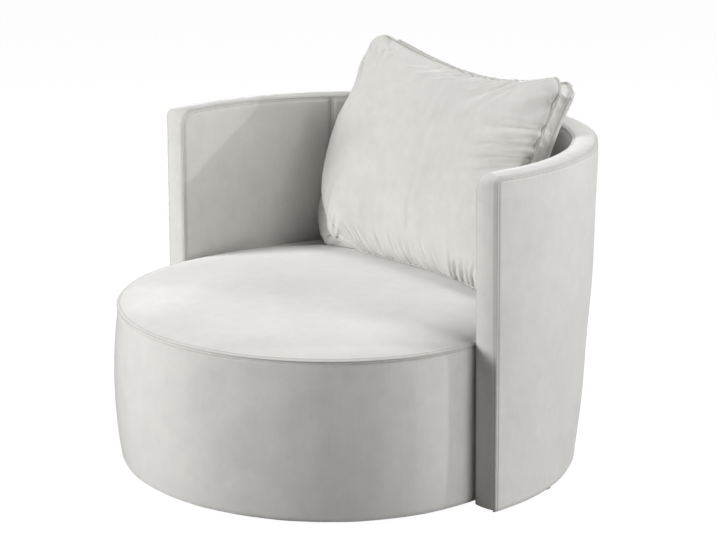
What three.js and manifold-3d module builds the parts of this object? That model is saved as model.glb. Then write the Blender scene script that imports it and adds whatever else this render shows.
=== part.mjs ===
// A round cuddle chair: an upholstered drum seat clasped by a wrap-round back, with a loose boxed cushion.
import * as THREE from "three";
import { mergeVertices } from "three/addons/utils/BufferGeometryUtils.js";
import Module from "manifold-3d";

const wasm = await Module();
wasm.setup();

// Cloth, boards and clearances, in millimetres like every length below
const GAP = 0.3;
const FOAM_ROOM = 0.6;
const BOARD_ROOM = 0.8;
const CLOTH = 2;
const THIN_BOARD = 3;
const PLATE = 18;
const CUT_OVERRUN = 5;

// The drum seat
const FLOOR_GAP = 10;
const DRUM_RADIUS = 510;
const DRUM_HEIGHT = 376;
const DRUM_BELLY = 14;
const SEAT_CROWN = 22;
const DRUM_PADDING = 40;
const SEAT_FOAM_DEPTH = 66;
const TOP_RING_WIDTH = 90;
const POST_COUNT = 6;
const POST_WIDTH = 60;
const POST_DEPTH = 40;
const VENT_COUNT = 4;
const VENT_RADIUS = 45;
const VENT_CIRCLE = 250;
const DUST_CLOTH = 1;
const DRUM_STEPS = 56;
const ARC_STEPS = 20;
const HOLE_STEPS = 5;
const ARM_PRESS_RUN = 160;
const ARM_PRESS_LEAD = 14;

// The woven seat webbing
const WEBBING_COUNT = 4;
const WEBBING_WIDTH = 60;
const WEBBING_THICKNESS = 2.4;
const WEBBING_PITCH = 110;
const WEBBING_END_MARGIN = 22;
const WEBBING_RAMP = 19;

// The wrap-round back, in plan a leaning C about centres behind the drum's axis
const WALL_HEIGHT = 770;
const WALL_THICKNESS = 62;
const WALL_ROOM = 1.2;
const WALL_FLARE = 0.8;
const WALL_SETBACK = 29.8;
const WALL_LEAN = 54.2;
const ARM_LEAD = 39.3;
const ARM_RAKE = 4.1;
const ARM_CORNER = 42;
const WALL_BULGE = 14;
const OUTER_PADDING = 6;
const INNER_FOAM = 15;
const RIM_FOAM = 14;
const BAND_CROWN = 4;
const RIB_WIDTH = 36;
const INNER_RIB_COUNT = 5;
const SEAT_RAIL_DROP = 56;
const WALL_STEPS = 22;
const CORNER_STEPS = 3;
const INSIDE_SEAM_ANGLE = 53;

// The crescent that closes the space behind the round seat
const INFILL_BOARD = 12;
const INFILL_DROP = 4;
const INFILL_CROWN = 6;
const INFILL_ROOM = 1.4;

// Glides and the plates that join the back to the drum
const GLIDE_RADIUS = 22;
const GLIDE_CHAMFER = 2;
const GLIDE_STEPS = 16;
const GLIDE_MARGIN = 85;
const DRUM_GLIDE_ANGLES = [45, 135, 225, 315];
const BACK_GLIDE_ANGLES = [-75, -22, 22, 75];
const JOIN_ANGLES = [-48, 48];
const JOIN_WIDTH = 50;
const JOIN_THICKNESS = 3;
const JOIN_LAP = 45;
const JOIN_HOLE_RADIUS = 3;
const JOIN_HOLE_MARGIN = 14;

// The loose back cushion
const CUSHION_WIDTH = 690;
const CUSHION_HEIGHT = 540;
const CUSHION_GUSSET = 46;
const CUSHION_FRONT_CROWN = 62;
const CUSHION_BACK_CROWN = 62;
const CUSHION_BOW = 60;
const CUSHION_BOTTOM_DRAW = 18;
const CUSHION_RIGHT_DRAW = 47;
const CUSHION_TOP_DRAW = 37;
const CUSHION_LEFT_SWELL = 29;
const CUSHION_LEFT_LIFT = 18;
const CUSHION_RIGHT_SAG = 9;
const CUSHION_CORNER = 38;
const CUSHION_BULGE = 12;
const CUSHION_LEAN = 20.5;
const CUSHION_TURN = -5;
const CUSHION_SIDE_SHIFT = 10;
const CUSHION_FROM_BACK = 328;
const CUSHION_RAISE = 36;
const CUSHION_SEAT_ROOM = 7.2;
const CUSHION_SIDE_STEPS = 7;
const ZIP_LENGTH = 300;
const ZIP_WIDTH = 26;
const ZIP_THICKNESS = 1.4;
const SLIDER_LENGTH = 15;
const SLIDER_WIDTH = 9;
const SLIDER_HEIGHT = 3;
const SLIDER_NOSE = 3;
const SLIDER_END_ROOM = 12;

// Rows and columns, as shares of the sizes that they follow
const sideRowShares = [0, 0.2, 0.4, 0.6, 0.82, 1];
const seatRowShares = [0, 0.35, 0.6, 0.78, 0.9, 0.97, 1];
const wallRowShares = [0, 0.25, 0.5, 0.75, 1];
const bandRowShares = [0, 0.12, 0.5, 0.88, 1];
const padRowShares = [0, 0.25, 0.5, 0.75, 1];
const cushionRingShares = [1, 0.985, 0.94, 0.84, 0.68, 0.4, 0];
const seatCrownPowerShare = 4;
const infillStartShare = 0.125;
const cushionCrownPowerShare = 2.8;
const cushionFullnessShare = 0.3;
const gussetRowShares = [0, 0.25, 0.5, 0.75, 1];
const zipBowShare = 0.4;

// Radii and heights that follow from the sizes above
const DRUM_FRAME_RADIUS = DRUM_RADIUS - DRUM_PADDING;
const WALL_RADIUS_FLOOR = DRUM_RADIUS + WALL_ROOM + WALL_THICKNESS;
const WALL_RADIUS_RIM = WALL_RADIUS_FLOOR + WALL_FLARE;
const WALL_CENTRE_RIM = WALL_SETBACK + WALL_LEAN;
const SEAM_Z = FLOOR_GAP + DRUM_HEIGHT;
const RIM_Z = FLOOR_GAP + WALL_HEIGHT;
const SEAT_RAIL_TOP = SEAM_Z - SEAT_RAIL_DROP;
const RING_TOP_Z = SEAM_Z - SEAT_FOAM_DEPTH - WEBBING_THICKNESS * 2;
const FOAM_BOTTOM_Z = RING_TOP_Z + WEBBING_THICKNESS * 2 - GAP;
const DRUM_BOARD_Z = FLOOR_GAP + DUST_CLOTH + GAP;
const SKIN_INNER = DRUM_FRAME_RADIUS + BOARD_ROOM;
const SKIN_OUTER = SKIN_INNER + THIN_BOARD;
const LAST_STATION = WALL_STEPS + 2;

// The wall's layers, each as its inset from the outside face
const PADDING_OUT = CLOTH + FOAM_ROOM;
const PADDING_IN = PADDING_OUT + OUTER_PADDING;
const OUTER_BOARD_OUT = PADDING_IN + FOAM_ROOM;
const OUTER_BOARD_IN = OUTER_BOARD_OUT + THIN_BOARD;
const RIB_OUT = OUTER_BOARD_IN + FOAM_ROOM;
const INSIDE_COVER_IN = WALL_THICKNESS;
const INSIDE_COVER_OUT = INSIDE_COVER_IN - CLOTH;
const INNER_FOAM_IN = INSIDE_COVER_OUT - FOAM_ROOM;
const INNER_FOAM_OUT = INNER_FOAM_IN - INNER_FOAM;
const INNER_BOARD_IN = INNER_FOAM_OUT - FOAM_ROOM;
const INNER_BOARD_OUT = INNER_BOARD_IN - THIN_BOARD;
const RIB_IN = INNER_BOARD_OUT - FOAM_ROOM;
const COVER_EDGE = BAND_CROWN + CLOTH + GAP;
const CORE_EDGE = CLOTH + FOAM_ROOM + RIM_FOAM + GAP;

// Colours read from the photographed chair, and the usual ones of what it hides
const velvet = { color: 0xd6d5d1, roughness: 0.85, metalness: 0 };
const foam = { color: 0xe9dcb8, roughness: 0.95, metalness: 0 };
const plywood = { color: 0xc8a878, roughness: 0.7, metalness: 0 };
const webbing = { color: 0x2f3136, roughness: 0.9, metalness: 0 };
const lining = { color: 0x26272a, roughness: 0.95, metalness: 0 };
const plastic = { color: 0x1d1e20, roughness: 0.5, metalness: 0 };
const steel = { color: 0x9a9c9e, roughness: 0.4, metalness: 1 };

// Small maths
const mix = (a, b, share) => a + (b - a) * share;
const radians = (degrees) => (degrees * Math.PI) / 180;
const smooth = (share) => share * share * (3 - 2 * share);
const clamp = (value) => Math.min(1, Math.max(0, value));
const arch = (share) => 4 * share * (1 - share);
const mixPoint = (a, b, share) => a.map((value, i) => mix(value, b[i], share));

// A crown's rise from its edge, at share 1, to its middle: the higher the power, the flatter the top
const crownAt = (share, power) => Math.sqrt(1 - share ** power);

// Straight-line interpolation through matching lists, so that nested layers bend at the same places
function ramp(places, values, place) {
  for (let i = 1; i < places.length; i++) {
    if (place <= places[i]) {
      const share = (place - places[i - 1]) / (places[i] - places[i - 1]);
      return mix(values[i - 1], values[i], Math.max(0, share));
    }
  }
  return values[values.length - 1];
}

// A closed surface from triangles of points, with faces turned outwards and slivers at poles left out
function surface(triangles) {
  const same = (a, b) => a.every((value, i) => Math.abs(value - b[i]) < 1e-6);
  const kept = triangles.filter(([a, b, c]) => !same(a, b) && !same(b, c) && !same(c, a));
  let volume = 0;
  for (const [a, b, c] of kept) {
    volume += new THREE.Vector3(...a).dot(new THREE.Vector3(...b).cross(new THREE.Vector3(...c)));
  }
  const faces = volume < 0 ? kept.map(([a, b, c]) => [a, c, b]) : kept;
  const geometry = new THREE.BufferGeometry();
  geometry.setAttribute("position", new THREE.Float32BufferAttribute(faces.flat(2), 3));
  return geometry;
}

// Both triangles of a four-cornered patch, always split from its first corner to its third
const patch = (a, b, c, d) => [[a, b, c], [a, c, d]];
const reversed = (triangles) => triangles.map(([a, b, c]) => [a, c, b]);

// A slab between two matching grids of points; a closed grid joins its last column to its first
function slab(front, back, closed = false) {
  const triangles = [];
  const columns = front.length;
  const rows = front[0].length;
  const spans = closed ? columns : columns - 1;
  for (let i = 0; i < spans; i++) {
    const n = (i + 1) % columns;
    for (let j = 0; j < rows - 1; j++) {
      triangles.push(...patch(front[i][j], front[n][j], front[n][j + 1], front[i][j + 1]));
      triangles.push(...reversed(patch(back[i][j], back[n][j], back[n][j + 1], back[i][j + 1])));
    }
    triangles.push(...patch(back[i][0], back[n][0], front[n][0], front[i][0]));
    const t = rows - 1;
    triangles.push(...patch(front[i][t], front[n][t], back[n][t], back[i][t]));
  }
  if (!closed) {
    const e = columns - 1;
    for (let j = 0; j < rows - 1; j++) {
      triangles.push(...patch(back[0][j], front[0][j], front[0][j + 1], back[0][j + 1]));
      triangles.push(...patch(front[e][j], back[e][j], back[e][j + 1], front[e][j + 1]));
    }
  }
  return surface(triangles);
}

// A solid body wrapped by closed rings of points whose first and last ring are single points
function lump(rings) {
  const triangles = [];
  for (let j = 0; j < rings.length - 1; j++) {
    const count = rings[j].length;
    for (let i = 0; i < count; i++) {
      const n = (i + 1) % count;
      triangles.push(...patch(rings[j][i], rings[j][n], rings[j + 1][n], rings[j + 1][i]));
    }
  }
  return surface(triangles);
}

// Turns rings of points into the columns of a closed slab, and the other way round
const columnsOf = (rings) => rings[0].map((_, i) => rings.map((ring) => ring[i]));

// Joining and cutting of closed geometries
function toSolid(geometry) {
  const bare = geometry.index ? geometry.toNonIndexed() : geometry.clone();
  bare.deleteAttribute("normal");
  bare.deleteAttribute("uv");
  const merged = mergeVertices(bare, 1e-4);
  return new wasm.Manifold(new wasm.Mesh({
    numProp: 3,
    vertProperties: merged.attributes.position.array,
    triVerts: new Uint32Array(merged.index.array),
  }));
}

function toGeometry(solid) {
  const mesh = solid.getMesh();
  const geometry = new THREE.BufferGeometry();
  geometry.setAttribute("position", new THREE.BufferAttribute(mesh.vertProperties.slice(), 3));
  geometry.setIndex(new THREE.BufferAttribute(mesh.triVerts.slice(), 1));
  return geometry;
}

function cut(geometry, tools) {
  let solid = toSolid(geometry);
  for (const tool of tools) solid = solid.subtract(toSolid(tool));
  return toGeometry(solid);
}

// A revolve about the upright axis from [radius, height] points
function revolve(points, steps) {
  const profile = points.map(([radius, height]) => new THREE.Vector2(radius, height));
  return new THREE.LatheGeometry(profile, steps).rotateX(Math.PI / 2);
}

// A flat plate from a plan outline, lying between two heights
function plate(shape, bottom, top, curveSegments) {
  const settings = { depth: top - bottom, bevelEnabled: false, curveSegments };
  return new THREE.ExtrudeGeometry(shape, settings).translate(0, 0, bottom);
}

// Everything hangs in one group; each body of the chair has its own group inside it
const chair = new THREE.Group();
const fixed = new THREE.Group();
chair.add(fixed);

function addPiece(name, geometry, finish, parent = fixed) {
  const mesh = new THREE.Mesh(geometry, new THREE.MeshStandardMaterial(finish));
  mesh.name = name;
  parent.add(mesh);
  return mesh;
}

// The drum's side in section: straight between its rows, fullest at half its height
const sideRowHeights = sideRowShares.map((share) => FLOOR_GAP + DRUM_HEIGHT * share);
const sideRowRadii = sideRowShares.map((share) => DRUM_RADIUS + DRUM_BELLY * arch(share));
const sideRadius = (z) => ramp(sideRowHeights, sideRowRadii, z);

// The seat's crown in section
const seatRowRadii = seatRowShares.map((share) => DRUM_RADIUS * share);
const seatRise = (share) => SEAT_CROWN * crownAt(share, seatCrownPowerShare);
const seatRowHeights = seatRowShares.map((share) => SEAM_Z + seatRise(share));
const seatHeight = (radius) => ramp(seatRowRadii, seatRowHeights, radius);

// The wall in plan at the floor edge (share 0) or the rim (share 1), and how far round it turns
function wallPlan(inset, share) {
  const radius = mix(WALL_RADIUS_FLOOR, WALL_RADIUS_RIM, share) - inset;
  const centre = mix(WALL_SETBACK, WALL_CENTRE_RIM, share);
  const lead = mix(ARM_LEAD, ARM_LEAD + ARM_RAKE, share);
  const endTurn = Math.PI / 2 + Math.asin((centre + lead) / radius);
  return { radius, centre, endTurn, flatTurn: endTurn - ARM_CORNER / radius };
}

// A point of the wall in plan on a whole station: the arm fronts are the first and the last of them
function planPoint(station, inset, share) {
  const { radius, centre, endTurn, flatTurn } = wallPlan(inset, share);
  let turn = mix(-flatTurn, flatTurn, (station - 1) / WALL_STEPS);
  if (station === 0) turn = -endTurn;
  if (station === LAST_STATION) turn = endTurn;
  return [radius * Math.sin(turn), centre + radius * Math.cos(turn)];
}

// A point in the wall: its station along the C, its inset from the outside face and its height
function wallPoint(station, inset, z) {
  const share = (z - FLOOR_GAP) / WALL_HEIGHT;
  const low = Math.min(Math.floor(station), LAST_STATION - 1);
  const part = station - low;
  const floor = mixPoint(planPoint(low, inset, 0), planPoint(low + 1, inset, 0), part);
  const rim = mixPoint(planPoint(low, inset, 1), planPoint(low + 1, inset, 1), part);
  return [...mixPoint(floor, rim, share), z];
}

const wallRowHeights = wallRowShares.map((share) => FLOOR_GAP + WALL_HEIGHT * share);
const wallRowSwells = wallRowShares.map(arch);
const stationPitch = (WALL_RADIUS_FLOOR * 2 * wallPlan(0, 0).flatTurn) / WALL_STEPS;

// The outside of the back is fuller at half height, and fullest at the rear
function wallBulge(station, z) {
  const low = Math.min(Math.floor(station), LAST_STATION - 1);
  const roundness = (place) => Math.sin((Math.PI * place) / LAST_STATION);
  const fullness = mix(roundness(low), roundness(low + 1), station - low);
  return WALL_BULGE * fullness * ramp(wallRowHeights, wallRowSwells, z);
}

// Heights from a bottom to a top, with the rows that every layer of the wall shares between them
function heightsBetween(bottom, top) {
  return [bottom, ...wallRowHeights.filter((z) => z > bottom && z < top), top];
}

// Stations from one place of the wall to another, with the whole ones between them
function stationsBetween(from, to) {
  const stations = [from];
  for (let station = Math.floor(from) + 1; station < to; station++) stations.push(station);
  stations.push(to);
  return stations;
}

// Columns of a wall panel whose top edge follows the rim and rounds each arm's top corner
function panelColumns(from, to, edge) {
  const bend = ARM_CORNER - edge;
  const corner = [];
  for (let i = 0; i <= CORNER_STEPS; i++) {
    const turn = (Math.PI / 2) * (i / CORNER_STEPS);
    const station = (ARM_CORNER - bend * Math.cos(turn)) / ARM_CORNER;
    corner.push({ station, top: RIM_Z - ARM_CORNER + bend * Math.sin(turn) });
  }
  const mirrored = corner.map(({ station, top }) => ({ station: LAST_STATION - station, top })).reverse();
  const start = from === 0 ? 1 : from;
  const end = to === LAST_STATION ? LAST_STATION - 1 : to;
  const flat = end > start ? stationsBetween(start, end) : [];
  const middle = flat.map((station) => ({ station, top: RIM_Z - edge }));
  if (from === 0) middle.splice(0, middle.length ? 1 : 0, ...corner);
  if (to === LAST_STATION) middle.splice(middle.length - 1, 1, ...mirrored);
  return middle;
}

// A layer of the wall between two insets, from a bottom height up to its edge below the rim;
// each face may take its share of the outside's fullness
function wallPanel(panel) {
  const { from = 0, to = LAST_STATION, outer, inner, edge, bottom, outerSwell = 0, innerSwell = 0 } = panel;
  const grid = (inset, swell) => panelColumns(from, to, edge).map(({ station, top }) =>
    heightsBetween(bottom, top).map((z) => wallPoint(station, inset - swell * wallBulge(station, z), z)));
  return slab(grid(outer, outerSwell), grid(inner, innerSwell));
}

// A block of the wall between two stations, two insets and two heights
function wallBlock(from, to, outer, inner, bottom, top) {
  const grid = (inset) => stationsBetween(from, to).map((station) =>
    heightsBetween(bottom, top).map((z) => wallPoint(station, inset, z)));
  return slab(grid(outer), grid(inner));
}

// The arms press the drum's padding in, from just ahead of their fronts round to the back
const seamAtArm = wallPoint(0, WALL_THICKNESS, SEAM_Z);
const PRESSED_RADIUS = Math.hypot(seamAtArm[0], seamAtArm[1]) - 2 * GAP;
const pressEnd = Math.acos((ARM_PRESS_LEAD + ARM_LEAD) / DRUM_RADIUS);
const pressStart = pressEnd - ARM_PRESS_RUN / DRUM_RADIUS;

function drumPoint(step, radius, z) {
  const turn = (Math.PI * 2 * step) / DRUM_STEPS;
  const fromFront = Math.min(turn, Math.PI * 2 - turn);
  const pressed = smooth(clamp((fromFront - pressStart) / (pressEnd - pressStart)));
  const depth = clamp((radius - SKIN_OUTER) / (sideRadius(z) - SKIN_OUTER));
  const reach = radius - pressed * depth * (sideRadius(z) - PRESSED_RADIUS);
  return [reach * Math.sin(turn), -reach * Math.cos(turn), z];
}

// One column of points for each step round the drum, from [radius, height] points
function drumColumns(profile) {
  const columns = [];
  for (let step = 0; step < DRUM_STEPS; step++) {
    columns.push(profile.map(([radius, z]) => drumPoint(step, radius, z)));
  }
  return columns;
}

// A ring of the drum's upholstery between the side face less an inset and an inner radius
function drumRing(bottom, top, outerInset, innerRadiusAt) {
  const heights = [bottom, ...sideRowHeights.filter((z) => z > bottom && z < top), top];
  const outside = drumColumns(heights.map((z) => [sideRadius(z) - outerInset, z]));
  const inside = drumColumns(heights.map((z) => [innerRadiusAt(z), z]));
  return slab(outside, inside, true);
}

function buildDrumFrame() {
  const boardTop = DRUM_BOARD_Z + PLATE;
  const ringBottom = RING_TOP_Z - PLATE;

  const disc = new THREE.Shape().absarc(0, 0, DRUM_FRAME_RADIUS, 0, Math.PI * 2);
  for (let i = 0; i < VENT_COUNT; i++) {
    const turn = (Math.PI * 2 * i) / VENT_COUNT;
    const vent = new THREE.Path();
    const [x, y] = [VENT_CIRCLE * Math.cos(turn), VENT_CIRCLE * Math.sin(turn)];
    disc.holes.push(vent.absarc(x, y, VENT_RADIUS, 0, Math.PI * 2, true));
  }
  addPiece("drum_base_board", plate(disc, DRUM_BOARD_Z, boardTop, ARC_STEPS), plywood);

  const dustDisc = new THREE.Shape().absarc(0, 0, DRUM_FRAME_RADIUS, 0, Math.PI * 2);
  addPiece("drum_dust_cover", plate(dustDisc, FLOOR_GAP, FLOOR_GAP + DUST_CLOTH, ARC_STEPS), lining);

  const ring = new THREE.Shape().absarc(0, 0, DRUM_FRAME_RADIUS, 0, Math.PI * 2);
  const innerRadius = DRUM_FRAME_RADIUS - TOP_RING_WIDTH;
  const opening = new THREE.Path().absarc(0, 0, innerRadius, 0, Math.PI * 2, true);
  ring.holes.push(opening);
  addPiece("drum_top_ring", plate(ring, ringBottom, RING_TOP_Z, ARC_STEPS), plywood);

  const postHeight = ringBottom - boardTop - 2 * GAP;
  const postReach = DRUM_FRAME_RADIUS - TOP_RING_WIDTH / 2;
  for (let i = 0; i < POST_COUNT; i++) {
    const turn = (Math.PI * 2 * (i + 0.5)) / POST_COUNT;
    const post = new THREE.BoxGeometry(POST_DEPTH, POST_WIDTH, postHeight);
    const mesh = addPiece(`drum_post_${i + 1}`, post, plywood);
    const middle = mix(boardTop, ringBottom, 0.5);
    mesh.position.set(postReach * Math.cos(turn), postReach * Math.sin(turn), middle);
    mesh.rotation.z = turn;
  }

  const skin = [
    [SKIN_INNER, FLOOR_GAP],
    [SKIN_OUTER, FLOOR_GAP],
    [SKIN_OUTER, FOAM_BOTTOM_Z - GAP],
    [SKIN_INNER, FOAM_BOTTOM_Z - GAP],
    [SKIN_INNER, FLOOR_GAP],
  ];
  addPiece("drum_skin_board", revolve(skin, DRUM_STEPS), plywood);
}

// Elastic straps woven over and under, each end laid on the top ring
function buildWebbing() {
  const half = WEBBING_THICKNESS / 2;
  const middle = RING_TOP_Z + GAP + half;
  const swing = half + GAP / 2;
  const flat = WEBBING_WIDTH / 2 + WEBBING_THICKNESS;
  const endRadius = DRUM_FRAME_RADIUS - WEBBING_END_MARGIN;
  const offset = (i) => (i - (WEBBING_COUNT - 1) / 2) * WEBBING_PITCH;
  for (let along = 0; along < 2; along++) {
    for (let i = 0; i < WEBBING_COUNT; i++) {
      const side = Math.abs(offset(i)) + WEBBING_WIDTH / 2;
      const reach = Math.sqrt(endRadius ** 2 - side ** 2);
      const line = [[-reach, middle]];
      for (let j = 0; j < WEBBING_COUNT; j++) {
        const height = middle + ((i + j) % 2 ? swing : -swing);
        if (j === 0) line.push([offset(j) - flat - WEBBING_RAMP, middle]);
        line.push([offset(j) - flat, height], [offset(j) + flat, height]);
        if (j === WEBBING_COUNT - 1) line.push([offset(j) + flat + WEBBING_RAMP, middle]);
      }
      line.push([reach, middle]);
      const above = line.map(([s, z]) => new THREE.Vector2(s, z + half));
      const below = line.map(([s, z]) => new THREE.Vector2(s, z - half)).reverse();
      const shape = new THREE.Shape([...below.reverse(), ...above.reverse()]);
      const strap = new THREE.ExtrudeGeometry(shape, { depth: WEBBING_WIDTH, bevelEnabled: false });
      strap.rotateX(Math.PI / 2).translate(0, offset(i) + WEBBING_WIDTH / 2, 0);
      if (along) strap.rotateZ(Math.PI / 2);
      addPiece(`seat_webbing_${along ? "front_to_back" : "side_to_side"}_${i + 1}`, strap, webbing);
    }
  }
}

function buildDrumUpholstery() {
  const lined = CLOTH + FOAM_ROOM;
  const padding = drumRing(FLOOR_GAP, FOAM_BOTTOM_Z - GAP, lined, () => SKIN_OUTER + FOAM_ROOM);
  addPiece("drum_side_padding", padding, foam);
  const coverTop = SEAM_Z - CLOTH - GAP;
  addPiece("drum_side_cover", drumRing(FLOOR_GAP, coverTop, 0, (z) => sideRadius(z) - CLOTH), velvet);

  const top = seatRowRadii.map((radius, i) => [radius, seatRowHeights[i]]).reverse();
  const under = top.map(([radius, z]) => [radius, z - CLOTH]);
  addPiece("seat_top_cover", slab(drumColumns(top), drumColumns(under), true), velvet);

  const foamEdge = DRUM_RADIUS - lined;
  const sideRows = sideRowHeights.filter((z) => z > FOAM_BOTTOM_Z && z < SEAM_Z - lined);
  const side = [FOAM_BOTTOM_Z, ...sideRows].map((z) => [sideRadius(z) - lined, z]);
  const crownRadii = [...seatRowRadii.filter((radius) => radius < foamEdge), foamEdge].reverse();
  const crown = crownRadii.map((radius) => [radius, seatHeight(radius) - lined]);
  const outline = drumColumns([[0, FOAM_BOTTOM_Z], ...side, ...crown]);
  addPiece("seat_foam", lump(columnsOf(outline)), foam);
}

// Ribs stand on the bottom rail and carry the top rail; the seat rail is half-lapped into each of them
function buildBackFrame() {
  const frontEdge = CORE_EDGE / ARM_CORNER;
  const halfRib = RIB_WIDTH / 2 / stationPitch;
  const slack = GAP / stationPitch;
  const lap = mix(RIB_OUT, RIB_IN, 0.5);
  const ribBottom = FLOOR_GAP + PLATE + GAP;
  const topRailTop = RIM_Z - CORE_EDGE;
  const topRailBottom = topRailTop - PLATE;
  const railBottom = SEAT_RAIL_TOP - PLATE;

  const spans = [[frontEdge, 1]];
  for (let i = 1; i <= INNER_RIB_COUNT; i++) {
    const middle = mix(1, LAST_STATION - 1, i / (INNER_RIB_COUNT + 1));
    spans.push([middle - halfRib, middle + halfRib]);
  }
  spans.push([LAST_STATION - 1, LAST_STATION - frontEdge]);

  const notch = (from, to, outer, inner) =>
    wallBlock(from, to, outer, inner, railBottom - GAP, SEAT_RAIL_TOP + GAP);
  const overrun = CUT_OVERRUN / stationPitch;
  const last = spans.length - 1;
  const rail = { outer: RIB_OUT, inner: RIB_IN };

  spans.forEach(([from, to], i) => {
    const front = { ...rail, edge: CORE_EDGE, bottom: ribBottom };
    let whole = wallBlock(from, to, RIB_OUT, RIB_IN, ribBottom, topRailBottom - GAP);
    if (i === 0) whole = wallPanel({ ...front, from: 0, to: 1 });
    if (i === last) whole = wallPanel({ ...front, from: LAST_STATION - 1, to: LAST_STATION });
    const lapCut = notch(from - overrun, to + overrun, lap - GAP, RIB_IN + CUT_OVERRUN);
    addPiece(`back_rib_${i + 1}`, cut(whole, [lapCut]), plywood);
  });

  const railBetween = (start, bottom, top) =>
    wallBlock(start, LAST_STATION - start, rail.outer, rail.inner, bottom, top);
  addPiece("back_bottom_rail", railBetween(frontEdge, FLOOR_GAP, FLOOR_GAP + PLATE), plywood);
  const laps = spans.map(([from, to], i) => notch(
    from - (i === 0 ? overrun : slack),
    to + (i === last ? overrun : slack),
    RIB_OUT - CUT_OVERRUN,
    lap,
  ));
  addPiece("back_seat_rail", cut(railBetween(frontEdge, railBottom, SEAT_RAIL_TOP), laps), plywood);
  addPiece("back_top_rail", railBetween(1 + slack, topRailBottom, topRailTop), plywood);
}

function buildBackUpholstery() {
  const insideBottom = SEAT_RAIL_TOP + GAP;
  const core = { edge: CORE_EDGE, bottom: FLOOR_GAP };
  const outerBoard = { ...core, outer: OUTER_BOARD_OUT, inner: OUTER_BOARD_IN };
  addPiece("back_outer_board", wallPanel(outerBoard), plywood);
  const innerBoard = { ...core, outer: INNER_BOARD_OUT, inner: INNER_BOARD_IN };
  addPiece("back_inner_board", wallPanel(innerBoard), plywood);

  const innerFoam = { outer: INNER_FOAM_OUT, inner: INNER_FOAM_IN, edge: CORE_EDGE, bottom: insideBottom };
  addPiece("back_inner_foam", wallPanel(innerFoam), foam);
  const padding = wallPanel({ ...core, outer: PADDING_OUT, inner: PADDING_IN, outerSwell: 1 });
  addPiece("back_outer_padding", padding, foam);
  const outside = { edge: COVER_EDGE, bottom: FLOOR_GAP, outerSwell: 1, innerSwell: 1 };
  addPiece("back_outer_cover", wallPanel({ ...outside, outer: 0, inner: CLOTH }), velvet);

  const { flatTurn } = wallPlan(WALL_THICKNESS, 1);
  const seam = mix(LAST_STATION / 2, 1, radians(INSIDE_SEAM_ANGLE) / flatTurn);
  const room = GAP / 2 / stationPitch;
  const cuts = [0, seam, LAST_STATION - seam, LAST_STATION];
  ["left", "centre", "right"].forEach((side, i) => {
    const panel = wallPanel({
      from: cuts[i] + (i === 0 ? 0 : room),
      to: cuts[i + 1] - (i === 2 ? 0 : room),
      outer: INSIDE_COVER_OUT,
      inner: INSIDE_COVER_IN,
      edge: COVER_EDGE,
      bottom: insideBottom,
    });
    addPiece(`inside_cover_${side}`, panel, velvet);
  });
}

// The border strip runs up one arm's front, round the rim and down the other arm. Its grid has a
// column at each bend of that path and a row at each inset, sunk from the outline by that row's depth
function borderGrid(insets, depths) {
  const armColumn = (mirrored, placeOf) => insets.map((inset, j) => {
    const { run, z } = placeOf(depths[j]);
    const station = run / ARM_CORNER;
    return wallPoint(mirrored ? LAST_STATION - station : station, inset, z);
  });
  const upright = (z) => (depth) => ({ run: depth, z });
  const corner = (turn) => (depth) => ({
    run: ARM_CORNER - (ARM_CORNER - depth) * Math.cos(turn),
    z: RIM_Z - ARM_CORNER + (ARM_CORNER - depth) * Math.sin(turn),
  });
  const arm = heightsBetween(FLOOR_GAP, RIM_Z - ARM_CORNER).map(upright);
  for (let i = 1; i < CORNER_STEPS; i++) arm.push(corner((Math.PI / 2) * (i / CORNER_STEPS)));
  const rim = stationsBetween(1, LAST_STATION - 1).map((station) =>
    insets.map((inset, j) => wallPoint(station, inset, RIM_Z - depths[j])));
  const left = arm.map((placeOf) => armColumn(false, placeOf));
  const right = arm.map((placeOf) => armColumn(true, placeOf)).reverse();
  return [...left, ...rim, ...right];
}

function buildBorder() {
  const crownDepths = bandRowShares.map((share) => BAND_CROWN * (2 * share - 1) ** 2);
  const crownInsets = bandRowShares.map((share) => WALL_THICKNESS * share);
  const deeper = (depths, amount) => depths.map((depth) => depth + amount);
  const bandUnder = borderGrid(crownInsets, deeper(crownDepths, CLOTH));
  addPiece("border_band", slab(borderGrid(crownInsets, crownDepths), bandUnder), velvet);

  const edge = CLOTH + FOAM_ROOM;
  const foamInsets = bandRowShares.map((share) => mix(edge, WALL_THICKNESS - edge, share));
  const foamDepths = foamInsets.map((inset) => ramp(crownInsets, crownDepths, inset) + edge);
  const foamUnder = borderGrid(foamInsets, foamInsets.map(() => edge + RIM_FOAM));
  addPiece("rim_foam", slab(borderGrid(foamInsets, foamDepths), foamUnder), foam);
}

// The crescent between the drum and the wall, closed at seat height by a board and a pad
function buildInfill() {
  const start = Math.round(LAST_STATION * infillStartShare);
  const stations = stationsBetween(start, LAST_STATION - start);
  const inner = PRESSED_RADIUS + INFILL_ROOM;
  const across = (inset, shares, zAt) => stations.map((station) => shares.map((share) => {
    const [x, y, z] = wallPoint(station, inset, zAt(share));
    const place = mix(inner / Math.hypot(x, y), 1, share);
    return [x * place, y * place, z];
  }));
  const board = (z) => across(INNER_BOARD_IN + FOAM_ROOM, [0, 1], () => z);
  const boardUnder = board(SEAT_RAIL_TOP - INFILL_BOARD);
  addPiece("rear_infill_board", slab(board(SEAT_RAIL_TOP), boardUnder), plywood);

  const padTop = SEAM_Z - INFILL_DROP;
  const crown = (share) => padTop + INFILL_CROWN * arch(share);
  const wallRoom = WALL_THICKNESS + INFILL_ROOM;
  const top = across(wallRoom, padRowShares, crown);
  const base = across(wallRoom, padRowShares, () => SEAT_RAIL_TOP + GAP);
  addPiece("rear_infill_pad", slab(top, base), velvet);
}

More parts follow.
